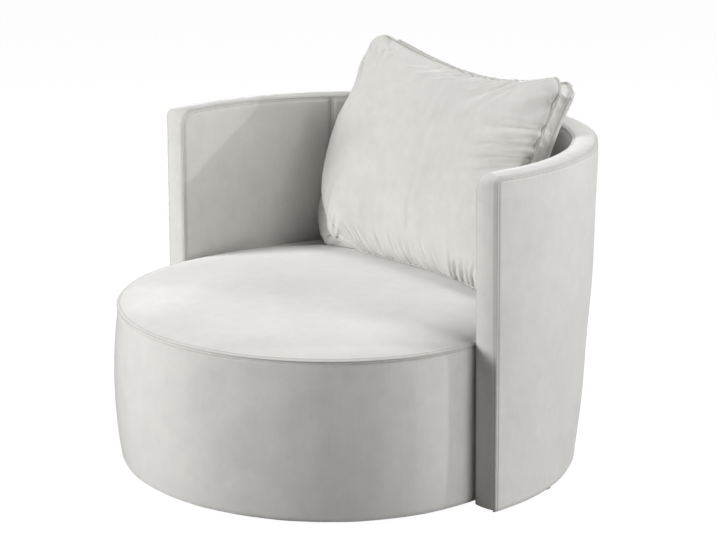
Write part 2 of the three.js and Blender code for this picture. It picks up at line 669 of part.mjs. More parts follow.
// Low plastic glides carry the drum and the back
function buildGlides() {
  const glide = (height) => revolve([
    [0, 0],
    [GLIDE_RADIUS - GLIDE_CHAMFER, 0],
    [GLIDE_RADIUS, GLIDE_CHAMFER],
    [GLIDE_RADIUS, height],
    [0, height],
  ], GLIDE_STEPS);
  DRUM_GLIDE_ANGLES.forEach((angle, i) => {
    const turn = radians(angle);
    const reach = DRUM_FRAME_RADIUS - GLIDE_MARGIN;
    const mesh = addPiece(`drum_glide_${i + 1}`, glide(FLOOR_GAP - GAP), plastic);
    mesh.position.set(reach * Math.cos(turn), reach * Math.sin(turn), 0);
  });
  BACK_GLIDE_ANGLES.forEach((angle, i) => {
    const turn = radians(angle);
    const reach = WALL_RADIUS_FLOOR - mix(RIB_OUT, RIB_IN, 0.5);
    const mesh = addPiece(`back_glide_${i + 1}`, glide(FLOOR_GAP - GAP), plastic);
    mesh.position.set(reach * Math.sin(turn), WALL_SETBACK + reach * Math.cos(turn), 0);
  });
}

// Flat steel plates under the chair tie the back's bottom rail to the drum's board
function buildJoiningPlates() {
  JOIN_ANGLES.forEach((angle, i) => {
    const turn = radians(angle);
    const wall = WALL_RADIUS_FLOOR - RIB_OUT;
    const aside = WALL_SETBACK * Math.sin(turn);
    const end = WALL_SETBACK * Math.cos(turn) + Math.sqrt(wall ** 2 - aside ** 2);
    const half = JOIN_WIDTH / 2;
    const start = DRUM_FRAME_RADIUS - JOIN_LAP;
    const shape = new THREE.Shape();
    shape.moveTo(-half, start);
    shape.lineTo(half, start);
    shape.lineTo(half, end - JOIN_HOLE_MARGIN);
    shape.lineTo(half - JOIN_HOLE_MARGIN, end);
    shape.lineTo(JOIN_HOLE_MARGIN - half, end);
    shape.lineTo(-half, end - JOIN_HOLE_MARGIN);
    for (const y of [start + JOIN_HOLE_MARGIN, end - JOIN_HOLE_MARGIN]) {
      for (const x of [JOIN_HOLE_MARGIN - half, half - JOIN_HOLE_MARGIN]) {
        shape.holes.push(new THREE.Path().absarc(x, y, JOIN_HOLE_RADIUS, 0, Math.PI * 2, true));
      }
    }
    const top = FLOOR_GAP - GAP;
    const strip = plate(shape, top - JOIN_THICKNESS, top, HOLE_STEPS).rotateZ(-turn);
    addPiece(`joining_plate_${i + 1}`, strip, steel);
  });
}

// The cushion's outline in its own plane: rounded corners, three sides drawn in and the left one swollen
function cushionOutline(inset) {
  const x = CUSHION_WIDTH / 2 - CUSHION_CORNER;
  const top = CUSHION_HEIGHT - CUSHION_CORNER;
  const corners = [
    { x, z: CUSHION_CORNER, draw: CUSHION_BOTTOM_DRAW },
    { x, z: top - CUSHION_RIGHT_SAG, draw: CUSHION_RIGHT_DRAW },
    { x: -x, z: top + CUSHION_LEFT_LIFT, draw: CUSHION_TOP_DRAW },
    { x: -x, z: CUSHION_CORNER, draw: -CUSHION_LEFT_SWELL },
  ];
  const bend = CUSHION_CORNER - inset;
  const startTurn = (i) => (Math.PI / 2) * (i - 1);
  const onCorner = (i, share) => {
    const turn = startTurn(i) + (Math.PI / 2) * share;
    return [corners[i].x + bend * Math.cos(turn), corners[i].z + bend * Math.sin(turn)];
  };
  const outline = [];
  corners.forEach((corner, i) => {
    const before = (i + corners.length - 1) % corners.length;
    const [a, b] = [onCorner(before, 1), onCorner(i, 0)];
    const inward = startTurn(i) + Math.PI;
    for (let step = 1; step < CUSHION_SIDE_STEPS; step++) {
      const share = step / CUSHION_SIDE_STEPS;
      const drawn = corner.draw * arch(share);
      const [x, z] = mixPoint(a, b, share);
      outline.push([x + drawn * Math.cos(inward), z + drawn * Math.sin(inward)]);
    }
    for (let step = 0; step <= CORNER_STEPS; step++) {
      outline.push(onCorner(i, step / CORNER_STEPS));
    }
  });
  return outline;
}

// How full a cushion face is on the way out to a point of its seam, lower towards the corners
function fullness(share, [x, z]) {
  const across = Math.abs(x) / (CUSHION_WIDTH / 2);
  const upright = Math.abs(z / (CUSHION_HEIGHT / 2) - 1);
  const farthest = Math.max(across, upright);
  const left = (way) => 1 - ((share * way) / farthest) ** cushionCrownPowerShare;
  return (left(across) * left(upright)) ** cushionFullnessShare;
}

// How far the cushion is bowed back, after the round back that it leans on, at a place of its width
const bowAt = (x) => CUSHION_BOW * (1 - (x / (CUSHION_WIDTH / 2)) ** 2);

// Rings of a crowned cushion face, from its seam to its middle
function cushionFace(inset, seamPlace, crown) {
  const middle = [0, CUSHION_HEIGHT / 2];
  const outline = cushionOutline(inset);
  return cushionRingShares.map((share) => outline.map((point) => {
    const [x, z] = mixPoint(middle, point, share);
    return [x, seamPlace + bowAt(x) + crown * fullness(share, point), z];
  }));
}

function buildCushion() {
  const atSeat = (SEAM_Z - FLOOR_GAP) / WALL_HEIGHT;
  const wallBack = mix(WALL_SETBACK, WALL_CENTRE_RIM, atSeat)
    + mix(WALL_RADIUS_FLOOR, WALL_RADIUS_RIM, atSeat) - WALL_THICKNESS;
  const turned = new THREE.Group();
  turned.position.set(CUSHION_SIDE_SHIFT, wallBack - CUSHION_FROM_BACK, SEAM_Z + CUSHION_RAISE);
  turned.rotation.z = radians(CUSHION_TURN);
  const leaning = new THREE.Group();
  leaning.rotation.x = radians(-CUSHION_LEAN);
  turned.add(leaning);
  chair.add(turned);
  turned.updateMatrix();
  leaning.updateMatrix();
  const inChair = turned.matrix.clone().multiply(leaning.matrix);

  // Layers of the cushion are flattened where it has settled on the seat
  const settled = (rings, depth) => rings.map((ring) => ring.map(([x, y, z]) => {
    const point = new THREE.Vector3(x, y, z).applyMatrix4(inChair);
    const rest = seatHeight(Math.hypot(point.x, point.y)) + CUSHION_SEAT_ROOM + depth;
    return [x, y, z + Math.max(0, rest - point.z) / Math.cos(leaning.rotation.x)];
  }));

  const face = (seamPlace, crown) => {
    const outside = settled(cushionFace(0, seamPlace, crown), 0);
    const inside = settled(cushionFace(0, seamPlace - Math.sign(crown) * CLOTH, crown), CLOTH);
    return slab(columnsOf(outside), columnsOf(inside), true);
  };
  addPiece("cushion_front_panel", face(0, -CUSHION_FRONT_CROWN), velvet, leaning);
  addPiece("cushion_back_panel", face(CUSHION_GUSSET, CUSHION_BACK_CROWN), velvet, leaning);

  const lined = CLOTH + GAP;
  const gussetRing = (share, inset) => {
    const swell = CUSHION_BULGE * arch(share);
    const place = mix(lined, CUSHION_GUSSET - lined, share);
    return cushionOutline(inset - swell).map(([x, z]) => [x, place + bowAt(x), z]);
  };
  const gussetOut = settled(gussetRowShares.map((share) => gussetRing(share, 0)), 0);
  const gussetIn = settled(gussetRowShares.map((share) => gussetRing(share, CLOTH)), CLOTH);
  addPiece("cushion_gusset", slab(columnsOf(gussetOut), columnsOf(gussetIn), true), velvet, leaning);

  const packed = CLOTH + FOAM_ROOM;
  const front = cushionFace(packed, packed, packed - CUSHION_FRONT_CROWN).reverse();
  const back = cushionFace(packed, CUSHION_GUSSET - packed, CUSHION_BACK_CROWN - packed);
  const sides = gussetRowShares.slice(1, -1).map((share) => gussetRing(share, packed));
  const filling = settled([...front, ...sides, ...back], packed);
  addPiece("cushion_filling", lump(filling), foam, leaning);

  // The zip lies level under the settled gusset, clear of the seat
  const halfZip = ZIP_LENGTH / 2;
  const zipBow = mix(bowAt(0), bowAt(halfZip), zipBowShare);
  const [[under]] = settled([[[0, zipBow + CUSHION_GUSSET / 2, -CUSHION_BULGE]]], 0);
  const zip = new THREE.Vector3(...under).applyMatrix4(leaning.matrix);
  const farEnd = new THREE.Vector3(halfZip, zip.y + ZIP_WIDTH / 2, 0).applyMatrix4(turned.matrix);
  const zipTop = seatHeight(Math.hypot(farEnd.x, farEnd.y)) + CUSHION_SEAT_ROOM - GAP - turned.position.z;
  const tape = new THREE.BoxGeometry(ZIP_LENGTH, ZIP_WIDTH, ZIP_THICKNESS);
  const tapeMesh = addPiece("cushion_zip_tape", tape, lining, turned);
  tapeMesh.position.set(0, zip.y, zipTop - ZIP_THICKNESS / 2);

  const halfLong = SLIDER_LENGTH / 2;
  const halfWide = SLIDER_WIDTH / 2;
  const outline = new THREE.Shape();
  outline.moveTo(-halfLong, -halfWide);
  outline.lineTo(halfLong - SLIDER_NOSE, -halfWide);
  outline.lineTo(halfLong, SLIDER_NOSE - halfWide);
  outline.lineTo(halfLong, halfWide - SLIDER_NOSE);
  outline.lineTo(halfLong - SLIDER_NOSE, halfWide);
  outline.lineTo(-halfLong, halfWide);
  const slider = addPiece("cushion_zip_slider", plate(outline, -SLIDER_HEIGHT, 0, 1), steel, turned);
  slider.position.set(halfZip - SLIDER_END_ROOM - halfLong, zip.y, zipTop - ZIP_THICKNESS - GAP);
}

buildDrumFrame();
buildWebbing();
buildDrumUpholstery();
buildBackFrame();
buildBackUpholstery();
buildBorder();
buildInfill();
buildGlides();
buildJoiningPlates();
buildCushion();

// The chair's own origin is on the floor under the middle of its footprint
const footprint = new THREE.Box3().setFromObject(fixed);
chair.position.y = -mix(footprint.min.y, footprint.max.y, 0.5);

export default chair;
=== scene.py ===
import math

import bmesh
import bpy
import numpy as np
from mathutils import Matrix, Vector
from mathutils.kdtree import KDTree


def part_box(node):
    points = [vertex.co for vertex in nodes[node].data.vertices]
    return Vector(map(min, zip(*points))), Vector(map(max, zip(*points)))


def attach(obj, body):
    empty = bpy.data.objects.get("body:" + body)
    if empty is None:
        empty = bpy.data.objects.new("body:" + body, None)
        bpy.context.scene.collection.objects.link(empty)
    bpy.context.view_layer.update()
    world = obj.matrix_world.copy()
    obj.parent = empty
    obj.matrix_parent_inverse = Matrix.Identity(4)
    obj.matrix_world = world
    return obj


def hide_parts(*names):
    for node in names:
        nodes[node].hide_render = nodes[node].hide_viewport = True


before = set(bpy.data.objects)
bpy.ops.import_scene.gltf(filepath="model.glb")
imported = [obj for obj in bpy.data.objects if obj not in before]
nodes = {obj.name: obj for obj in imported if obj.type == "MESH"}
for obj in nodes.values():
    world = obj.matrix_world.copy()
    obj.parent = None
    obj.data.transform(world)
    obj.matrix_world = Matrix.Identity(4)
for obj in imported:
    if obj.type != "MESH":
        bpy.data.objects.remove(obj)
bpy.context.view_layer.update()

scene = bpy.context.scene
scene.view_settings.view_transform = "Standard"

# The camera. The chair is seen from beyond its right arm, a little above the rim, through a long
# lens that keeps its circles nearly true.
CAMERA_TURN = math.radians(45.603)
CAMERA_RISE = math.radians(15.046)
CAMERA_DISTANCE = 5.1337
CAMERA_LENS = 105.28
CAMERA_SENSOR = 36
LOOK_AT = Vector((-0.0349, 0.0570, 0.4261))


def from_target(turn, rise):
    """The direction at a turn to the right of the chair's front and a rise above the floor"""
    level = math.cos(rise)
    return Vector((math.sin(turn) * level, -math.cos(turn) * level, math.sin(rise)))


camera_data = bpy.data.cameras.new("camera")
camera_data.lens = CAMERA_LENS
camera_data.sensor_width = CAMERA_SENSOR
camera = bpy.data.objects.new("camera", camera_data)
camera.location = LOOK_AT + from_target(CAMERA_TURN, CAMERA_RISE) * CAMERA_DISTANCE
camera.rotation_mode = "QUATERNION"
camera.rotation_quaternion = (-from_target(CAMERA_TURN, CAMERA_RISE)).to_track_quat("-Z", "Y")
scene.collection.objects.link(camera)
scene.camera = camera

# The studio. A white floor and white surroundings. One large softbox stands low on the left and a
# weak one high behind it. On the right stand a low one, a high one and two small ones, whose edges
# show on the inside of the left arm.
FLOOR_REACH = 12
FLOOR_GLOW = 0.97
FLOOR_PAINT = 0.3
FLOOR_SHADOW = 0.12
ROOM_LIGHT = 0.04
KEY_LIGHT = dict(turn=-32, rise=13, distance=4.5, width=1.5, height=1.5, power=208)
LOW_SIDE_LIGHT = dict(turn=98, rise=12, distance=4.5, width=1.8, height=1.6, power=76)
SIDE_LIGHT = dict(turn=98, rise=24, distance=4.5, width=0.5, height=0.5, power=14)
PATCH_LIGHT = dict(turn=130, rise=24.5, distance=4.5, width=0.08, height=0.08, power=34)
HIGH_SIDE_LIGHT = dict(turn=120, rise=64, distance=4.5, width=1.6, height=1.6, power=92)
HIGH_REAR_LIGHT = dict(turn=-150, rise=64, distance=4.5, width=1.6, height=1.6, power=8)


def add_node(tree, kind, sockets, **settings):
    """A node whose inputs take a plain value or another node's output"""
    node = tree.nodes.new(kind)
    for name, value in settings.items():
        setattr(node, name, value)
    for name, value in sockets.items():
        if isinstance(value, bpy.types.NodeSocket):
            tree.links.new(value, node.inputs[name])
        else:
            node.inputs[name].default_value = value
    return node


def seen_directly(tree):
    """One for rays that the camera sees straight, in a gloss or through glass"""
    path = add_node(tree, "ShaderNodeLightPath", {})
    plain = add_node(tree, "ShaderNodeMath", {0: path.outputs["Is Camera Ray"],
                     1: path.outputs["Is Glossy Ray"]}, operation="MAXIMUM")
    return add_node(tree, "ShaderNodeMath", {0: plain.outputs[0],
                    1: path.outputs["Is Transmission Ray"]}, operation="MAXIMUM").outputs[0]


def softbox(name, turn, rise, distance, width, height, power):
    lamp = bpy.data.lights.new(name, "AREA")
    lamp.shape = "RECTANGLE"
    lamp.size = width
    lamp.size_y = height
    lamp.energy = power
    box = bpy.data.objects.new(name, lamp)
    side = from_target(math.radians(turn), math.radians(rise))
    box.location = LOOK_AT + side * distance
    box.rotation_mode = "QUATERNION"
    box.rotation_quaternion = (-side).to_track_quat("-Z", "Y")
    scene.collection.objects.link(box)


softbox("key_softbox", **KEY_LIGHT)
softbox("low_side_softbox", **LOW_SIDE_LIGHT)
softbox("side_softbox", **SIDE_LIGHT)
softbox("patch_softbox", **PATCH_LIGHT)
softbox("high_side_softbox", **HIGH_SIDE_LIGHT)
softbox("high_rear_softbox", **HIGH_REAR_LIGHT)

room = bpy.data.worlds.new("studio")
room.use_nodes = True
room.node_tree.nodes.clear()
lit = add_node(room.node_tree, "ShaderNodeBackground", {"Color": (1, 1, 1, 1), "Strength": ROOM_LIGHT})
seen = add_node(room.node_tree, "ShaderNodeBackground", {"Color": (1, 1, 1, 1), "Strength": 1})
either = add_node(room.node_tree, "ShaderNodeMixShader",
                  {0: seen_directly(room.node_tree), 1: lit.outputs[0], 2: seen.outputs[0]})
add_node(room.node_tree, "ShaderNodeOutputWorld", {"Surface": either.outputs[0]})
scene.world = room

floor_mesh = bpy.data.meshes.new("studio_floor")
corners = [(-FLOOR_REACH, -FLOOR_REACH, 0), (FLOOR_REACH, -FLOOR_REACH, 0),
           (FLOOR_REACH, FLOOR_REACH, 0), (-FLOOR_REACH, FLOOR_REACH, 0)]
floor_mesh.from_pydata(corners, [], [(0, 1, 2, 3)])
floor = bpy.data.objects.new("studio_floor", floor_mesh)
scene.collection.objects.link(floor)
paint = bpy.data.materials.new("studio_floor")
paint.use_nodes = True
tree = paint.node_tree
tree.nodes.clear()
matt = add_node(tree, "ShaderNodeBsdfDiffuse", {"Color": (FLOOR_PAINT, FLOOR_PAINT, FLOOR_PAINT, 1)})
shade = add_node(tree, "ShaderNodeBsdfDiffuse",
                 {"Color": (FLOOR_SHADOW, FLOOR_SHADOW, FLOOR_SHADOW, 1)})
glow = add_node(tree, "ShaderNodeEmission", {"Color": (1, 1, 1, 1), "Strength": FLOOR_GLOW})
white = add_node(tree, "ShaderNodeAddShader", {0: shade.outputs[0], 1: glow.outputs[0]})
either = add_node(tree, "ShaderNodeMixShader",
                  {0: seen_directly(tree), 1: matt.outputs[0], 2: white.outputs[0]})
add_node(tree, "ShaderNodeOutputMaterial", {"Surface": either.outputs[0]})
floor_mesh.materials.append(paint)

# The frame. Birch plywood boards, posts, rails and ribs, cut on a router and glued, with thin bent
# board round them; the plies show as fine lines on every cut edge.
BIRCH_LIGHT = (0.62, 0.44, 0.26, 1)
BIRCH_DARK = (0.44, 0.28, 0.15, 1)
PLY_THICKNESS = 0.0014
GRAIN_ALONG = 5
GRAIN_ACROSS = 70
WOOD_ROUGHNESS = 0.62
GRAIN_ROUGHNESS = 0.15
FRAME_PIECES = ("drum_base_board", "drum_top_ring", "drum_post_", "drum_skin_board", "back_rib_",
                "back_bottom_rail", "back_seat_rail", "back_top_rail", "back_outer_board",
                "back_inner_board", "rear_infill_board")


def effect_group(name, inputs, outputs):
    """An empty node group with named inputs and outputs, and its two end nodes"""
    group = bpy.data.node_groups.new(name, "ShaderNodeTree")
    for label, kind, value in inputs:
        socket = group.interface.new_socket(label, in_out="INPUT", socket_type=kind)
        socket.default_value = value
    for label, kind in outputs:
        group.interface.new_socket(label, in_out="OUTPUT", socket_type=kind)
    entry = group.nodes.new("NodeGroupInput")
    result = group.nodes.new("NodeGroupOutput")
    return group, entry, result


def patches(tree, place, scale, detail, roughness=0.5, distortion=0.0):
    """Cloudy variation round 0.5"""
    return add_node(tree, "ShaderNodeTexNoise", {"Vector": place, "Scale": scale, "Detail": detail,
                    "Roughness": roughness, "Distortion": distortion}).outputs["Fac"]


def between(tree, share, low, high):
    """A colour between two others"""
    blend = add_node(tree, "ShaderNodeMix", {}, data_type="RGBA")
    for socket, value in zip((blend.inputs[0], blend.inputs[6], blend.inputs[7]), (share, low, high)):
        if isinstance(value, bpy.types.NodeSocket):
            tree.links.new(value, socket)
        else:
            socket.default_value = value
    return blend.outputs[2]


def ranged(tree, share, low, high, start=0.0, end=1.0):
    """A number that runs from low to high as the share runs from start to end"""
    return add_node(tree, "ShaderNodeMapRange", {"Value": share, "From Min": start, "From Max": end,
                    "To Min": low, "To Max": high}).outputs[0]


def make_grain_group():
    group, entry, result = effect_group(
        "plywood_grain",
        [("Light", "NodeSocketColor", BIRCH_LIGHT), ("Dark", "NodeSocketColor", BIRCH_DARK)],
        [("Color", "NodeSocketColor"), ("Roughness", "NodeSocketFloat"), ("Height", "NodeSocketFloat")])
    place = add_node(group, "ShaderNodeTexCoord", {}).outputs["Object"]
    drawn = add_node(group, "ShaderNodeMapping",
                     {"Vector": place, "Scale": (GRAIN_ALONG, GRAIN_ACROSS, GRAIN_ACROSS)})
    grain = patches(group, drawn.outputs[0], scale=1, detail=6, roughness=0.6, distortion=0.8)
    darker = ranged(group, grain, low=0, high=1, start=0.35, end=0.7)
    face = between(group, darker, entry.outputs["Light"], entry.outputs["Dark"])
    height = add_node(group, "ShaderNodeSeparateXYZ", {"Vector": place}).outputs["Z"]
    plies = add_node(group, "ShaderNodeMath", {0: height, 1: PLY_THICKNESS}, operation="PINGPONG")
    lined = ranged(group, plies.outputs[0], low=0, high=1, start=0.0004, end=0.001)
    layers = between(group, lined, entry.outputs["Light"], entry.outputs["Dark"])
    facing_up = add_node(group, "ShaderNodeNewGeometry", {}).outputs["Normal"]
    upright = add_node(group, "ShaderNodeSeparateXYZ", {"Vector": facing_up}).outputs["Z"]
    level = add_node(group, "ShaderNodeMath", {0: upright}, operation="ABSOLUTE").outputs[0]
    group.links.new(between(group, level, layers, face), result.inputs["Color"])
    group.links.new(ranged(group, grain, WOOD_ROUGHNESS, WOOD_ROUGHNESS + GRAIN_ROUGHNESS),
                    result.inputs["Roughness"])
    group.links.new(grain, result.inputs["Height"])
    return group


def finished(name, group, values, bump_strength, bump_distance, **shader):
    """A Principled material fed by an effect group; uniform values sit on the shader itself"""
    material = bpy.data.materials.new(name)
    material.use_nodes = True
    tree = material.node_tree
    effect = tree.nodes.new("ShaderNodeGroup")
    effect.node_tree = group
    for label, value in values.items():
        effect.inputs[label].default_value = value
    surface = tree.nodes["Principled BSDF"]
    for label, value in shader.items():
        surface.inputs[label.replace("_", " ")].default_value = value
    tree.links.new(effect.outputs["Color"], surface.inputs["Base Color"])
    tree.links.new(effect.outputs["Roughness"], surface.inputs["Roughness"])
    bump = add_node(tree, "ShaderNodeBump", {"Height": effect.outputs["Height"],
                    "Strength": bump_strength, "Distance": bump_distance})
    tree.links.new(bump.outputs[0], surface.inputs["Normal"])
    return material


def dress(names, material):
    """Gives CAD pieces whose names start so their finish"""
    for name, piece in nodes.items():
        if name.startswith(names):
            piece.data.materials.clear()
            piece.data.materials.append(material)


birch = finished("birch_plywood", make_grain_group(), {}, bump_strength=0.25, bump_distance=0.0004)
dress(FRAME_PIECES, birch)

# The underside. Black lining stapled over the base board, low nylon glides, and two zinc-plated
# steel straps screwed across from the drum to the back.
LINING_BLACK = (0.018, 0.019, 0.021, 1)
LINING_WORN = (0.045, 0.046, 0.05, 1)
NYLON_BLACK = (0.012, 0.012, 0.013, 1)
NYLON_SCUFFED = (0.06, 0.06, 0.062, 1)
ZINC_LIGHT = (0.62, 0.63, 0.64, 1)
ZINC_DARK = (0.42, 0.43, 0.45, 1)


def make_speckle_group():
    group, entry, result = effect_group(
        "speckled_finish",
        [("Plain", "NodeSocketColor", LINING_BLACK), ("Worn", "NodeSocketColor", LINING_WORN),
         ("Fine", "NodeSocketFloat", 900.0), ("Broad", "NodeSocketFloat", 14.0),
         ("Smooth", "NodeSocketFloat", 0.5), ("Rough", "NodeSocketFloat", 0.8)],
        [("Color", "NodeSocketColor"), ("Roughness", "NodeSocketFloat"), ("Height", "NodeSocketFloat")])
    place = add_node(group, "ShaderNodeTexCoord", {}).outputs["Object"]
    fine = patches(group, place, entry.outputs["Fine"], detail=3)
    broad = patches(group, place, entry.outputs["Broad"], detail=4)
    worn = add_node(group, "ShaderNodeMath", {0: fine, 1: broad}, operation="MULTIPLY").outputs[0]
    share = ranged(group, worn, low=0, high=1, start=0.12, end=0.42)
    group.links.new(between(group, share, entry.outputs["Plain"], entry.outputs["Worn"]),
                    result.inputs["Color"])
    rough = add_node(group, "ShaderNodeMapRange", {"Value": share, "To Min": entry.outputs["Smooth"],
                     "To Max": entry.outputs["Rough"]}).outputs[0]
    group.links.new(rough, result.inputs["Roughness"])
    group.links.new(fine, result.inputs["Height"])
    return group


speckle = make_speckle_group()
dress("drum_dust_cover",
      finished("dust_lining", speckle, {"Fine": 1400, "Smooth": 0.85, "Rough": 0.95},
               bump_strength=0.5, bump_distance=0.0005))
dress(("drum_glide_", "back_glide_"),
      finished("nylon_glide", speckle, {"Plain": NYLON_BLACK, "Worn": NYLON_SCUFFED, "Fine": 300,
               "Smooth": 0.4, "Rough": 0.6}, bump_strength=0.2, bump_distance=0.0002))
dress("joining_plate_",
      finished("zinc_plate", speckle, {"Plain": ZINC_LIGHT, "Worn": ZINC_DARK, "Fine": 160, "Broad": 60,
               "Smooth": 0.28, "Rough": 0.5}, bump_strength=0.15, bump_distance=0.0002, Metallic=1.0))

# The webbing. Eight elastic straps woven over and under each other across the drum's ring, dark
# twill with a paler line near each edge.
STRAP_DARK = (0.03, 0.032, 0.038, 1)
STRAP_PALE = (0.10, 0.105, 0.12, 1)
TWILL_SCALE = 420


def make_twill_group():
    group, entry, result = effect_group(
        "strap_twill",
        [("Dark", "NodeSocketColor", STRAP_DARK), ("Pale", "NodeSocketColor", STRAP_PALE),
         ("Scale", "NodeSocketFloat", TWILL_SCALE)],
        [("Color", "NodeSocketColor"), ("Roughness", "NodeSocketFloat"), ("Height", "NodeSocketFloat")])
    place = add_node(group, "ShaderNodeTexCoord", {}).outputs["Object"]
    twill = add_node(group, "ShaderNodeTexWave", {"Vector": place, "Scale": entry.outputs["Scale"],
                     "Distortion": 1.2, "Detail": 1}, bands_direction="DIAGONAL").outputs["Fac"]
    worn = patches(group, place, scale=25, detail=4)
    share = add_node(group, "ShaderNodeMath", {0: twill, 1: worn}, operation="MULTIPLY").outputs[0]
    group.links.new(between(group, share, entry.outputs["Dark"], entry.outputs["Pale"]),
                    result.inputs["Color"])
    group.links.new(ranged(group, worn, low=0.8, high=0.95), result.inputs["Roughness"])
    group.links.new(twill, result.inputs["Height"])
    return group


twill = make_twill_group()
dress("seat_webbing_",
      finished("elastic_webbing", twill, {}, bump_strength=0.6, bump_distance=0.0006))

# The drum's side. A band of foam round the drum under one strip of short velvet, pulled under the
# base and rolled in at the seam to the seat; the arms press it flat where they clasp it.
VELVET = (0.640, 0.628, 0.600, 1)
VELVET_SHADED = (0.90, 0.90, 0.905, 1)
VELVET_BRUSHED = (1.03, 1.03, 1.025, 1)
# The darker velvet tone: crushed pile plus painted shade along seams and stitch rows, and a painted contact
# shadow under the cushion
VELVET_CRUSHED_AND_SHADED = (0.42, 0.41, 0.40, 1)
SHEEN_WEIGHT = 0.8
SHEEN_ROUGHNESS = 0.5
STREAK_SHARE = 0.4
AXIS_Y = sum(corner.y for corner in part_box("drum_base_board")) / 2
FLOOR_GAP = 0.010
DRUM_RADIUS = 0.510
DRUM_HEIGHT = 0.376
DRUM_BELLY = 0.014
SKIN_RADIUS = 0.4738
SKIN_ROOM = 0.0008
PRESSED_RADIUS = 0.5021
PRESS_RUN = 0.160
PRESS_LEAD = 0.0533
DRUM_COLUMNS = 720
SIDE_ROWS = 64
SIDE_LAP = 0.0030
SIDE_BUMPS = (1, 1, 0.35)
SEAM_Z = FLOOR_GAP + DRUM_HEIGHT
ROLL_REACH = 0.010
ROLL_DEPTH = 0.0035
HEM_REACH = 0.016
HEM_DEPTH = 0.011
STITCH_AWAY = 0.0056
STITCH_SINK = 0.0014
STITCH_LINE = 0.0016
SEAM_LINE = 0.0014
# How much darker the pile is painted at a seam and under a stitch row: crushed pile and painted shade of the
# groove
SEAM_DARK = 0.5
STITCH_DARK = 0.32
PUCKER_PITCH = 0.019
PUCKER_DEPTH = 0.0007
PUCKER_REACH = 0.014
PUCKER_FALL = 1.5
PUCKER_START = 0.003
PUCKER_STEADY = 0.6
PUCKER_SWING = 0.4
PUCKERS_IN_GROUP = 7
SLACK_WAVES = 7
SLACK_SHORTEST = 0.8
SLACK_LONGEST = 1.9
SLACK_SUM = 3.4


def make_velvet_group():
    """Short pile: broad shading where it was brushed, faint streaks along the nap, and fine fibres; where the
    pressed attribute says, a darker tone for crushed pile, painted seam shade and a painted contact shadow
    """
    group, entry, result = effect_group(
        "velvet_pile",
        [("Tone", "NodeSocketColor", VELVET), ("Brushing", "NodeSocketFloat", 1.0),
         ("Nap", "NodeSocketVector", (240.0, 240.0, 9.0))],
        [("Color", "NodeSocketColor"), ("Roughness", "NodeSocketFloat"), ("Height", "NodeSocketFloat")])
    place = add_node(group, "ShaderNodeTexCoord", {}).outputs["Object"]
    broad = patches(group, place, scale=5.5, detail=3, roughness=0.5, distortion=0.6)
    middle = patches(group, place, scale=26, detail=4, roughness=0.55, distortion=0.4)
    drawn = add_node(group, "ShaderNodeMapping", {"Vector": place, "Scale": entry.outputs["Nap"]})
    streaks = patches(group, drawn.outputs[0], scale=1, detail=3, roughness=0.6)
    fibres = patches(group, place, scale=1500, detail=2)
    brushed = add_node(group, "ShaderNodeMath", {0: broad, 1: middle}, operation="ADD").outputs[0]
    faint = add_node(group, "ShaderNodeMath", {0: streaks, 1: STREAK_SHARE},
                     operation="MULTIPLY").outputs[0]
    brushed = add_node(group, "ShaderNodeMath", {0: brushed, 1: faint}, operation="ADD").outputs[0]
    brushed = add_node(group, "ShaderNodeMath", {0: brushed, 1: 2 + STREAK_SHARE},
                       operation="DIVIDE").outputs[0]
    centred = add_node(group, "ShaderNodeMath", {0: brushed, 1: 0.5}, operation="SUBTRACT").outputs[0]
    swayed = add_node(group, "ShaderNodeMath", {0: centred, 1: entry.outputs["Brushing"]},
                      operation="MULTIPLY").outputs[0]
    brighter = ranged(group, swayed, low=0, high=1, start=-0.16, end=0.12)
    tint = between(group, brighter, VELVET_SHADED, VELVET_BRUSHED)
    # The pressed attribute darkens the tone: partly crushed pile, partly painted seam shade and painted
    # contact shadow
    pressed = add_node(group, "ShaderNodeAttribute", {}, attribute_name="pressed").outputs["Fac"]
    tint = between(group, pressed, tint, VELVET_CRUSHED_AND_SHADED)
    toned = add_node(group, "ShaderNodeVectorMath", {0: entry.outputs["Tone"], 1: tint},
                     operation="MULTIPLY").outputs[0]
    group.links.new(toned, result.inputs["Color"])
    rough = ranged(group, swayed, low=0.9, high=0.74, start=-0.1, end=0.1)
    group.links.new(rough, result.inputs["Roughness"])
    relief = add_node(group, "ShaderNodeMath", {0: fibres, 1: streaks}, operation="ADD").outputs[0]
    group.links.new(relief, result.inputs["Height"])
    return group


velvet_pile = make_velvet_group()


def velvet(name, nap, brushing=0.8, tone=VELVET):
    """Velvet whose nap lies along the axis with the smallest number"""
    return finished(name, velvet_pile, {"Nap": nap, "Brushing": brushing, "Tone": tone},
                    bump_strength=0.35, bump_distance=0.0006, Sheen_Weight=SHEEN_WEIGHT,
                    Sheen_Roughness=SHEEN_ROUGHNESS, Specular_IOR_Level=0.25)


upright_nap = (240.0, 240.0, 9.0)
drum_velvet = velvet("velvet_drum", upright_nap)


def smooth(share):
    share = np.clip(share, 0, 1)
    return share * share * (3 - 2 * share)


def arch(share):
    return 4 * share * (1 - share)


def eased(count, crowding=0.93):
    """Shares from 0 to 1 that lie closest together at both ends, where the seams are"""
    share = np.linspace(0, 1, count)
    return share - crowding * np.sin(2 * np.pi * share) / (2 * np.pi)


def rolled(away, reach):
    """How far a panel has rolled down to its seam: 1 at the seam and 0 beyond the reach"""
    share = np.clip(1 - away / reach, 0, 1)
    return 1 - np.sqrt(1 - share ** 2)


def dent(away, place, width):
    """A soft valley across a line at a place: 1 on the line and fading to both sides"""
    return np.exp(-((away - place) / width) ** 2)


def sunk(away, row=STITCH_AWAY):
    """How deep a row of stitches draws the cloth in"""
    return STITCH_SINK * dent(away, row, STITCH_LINE)


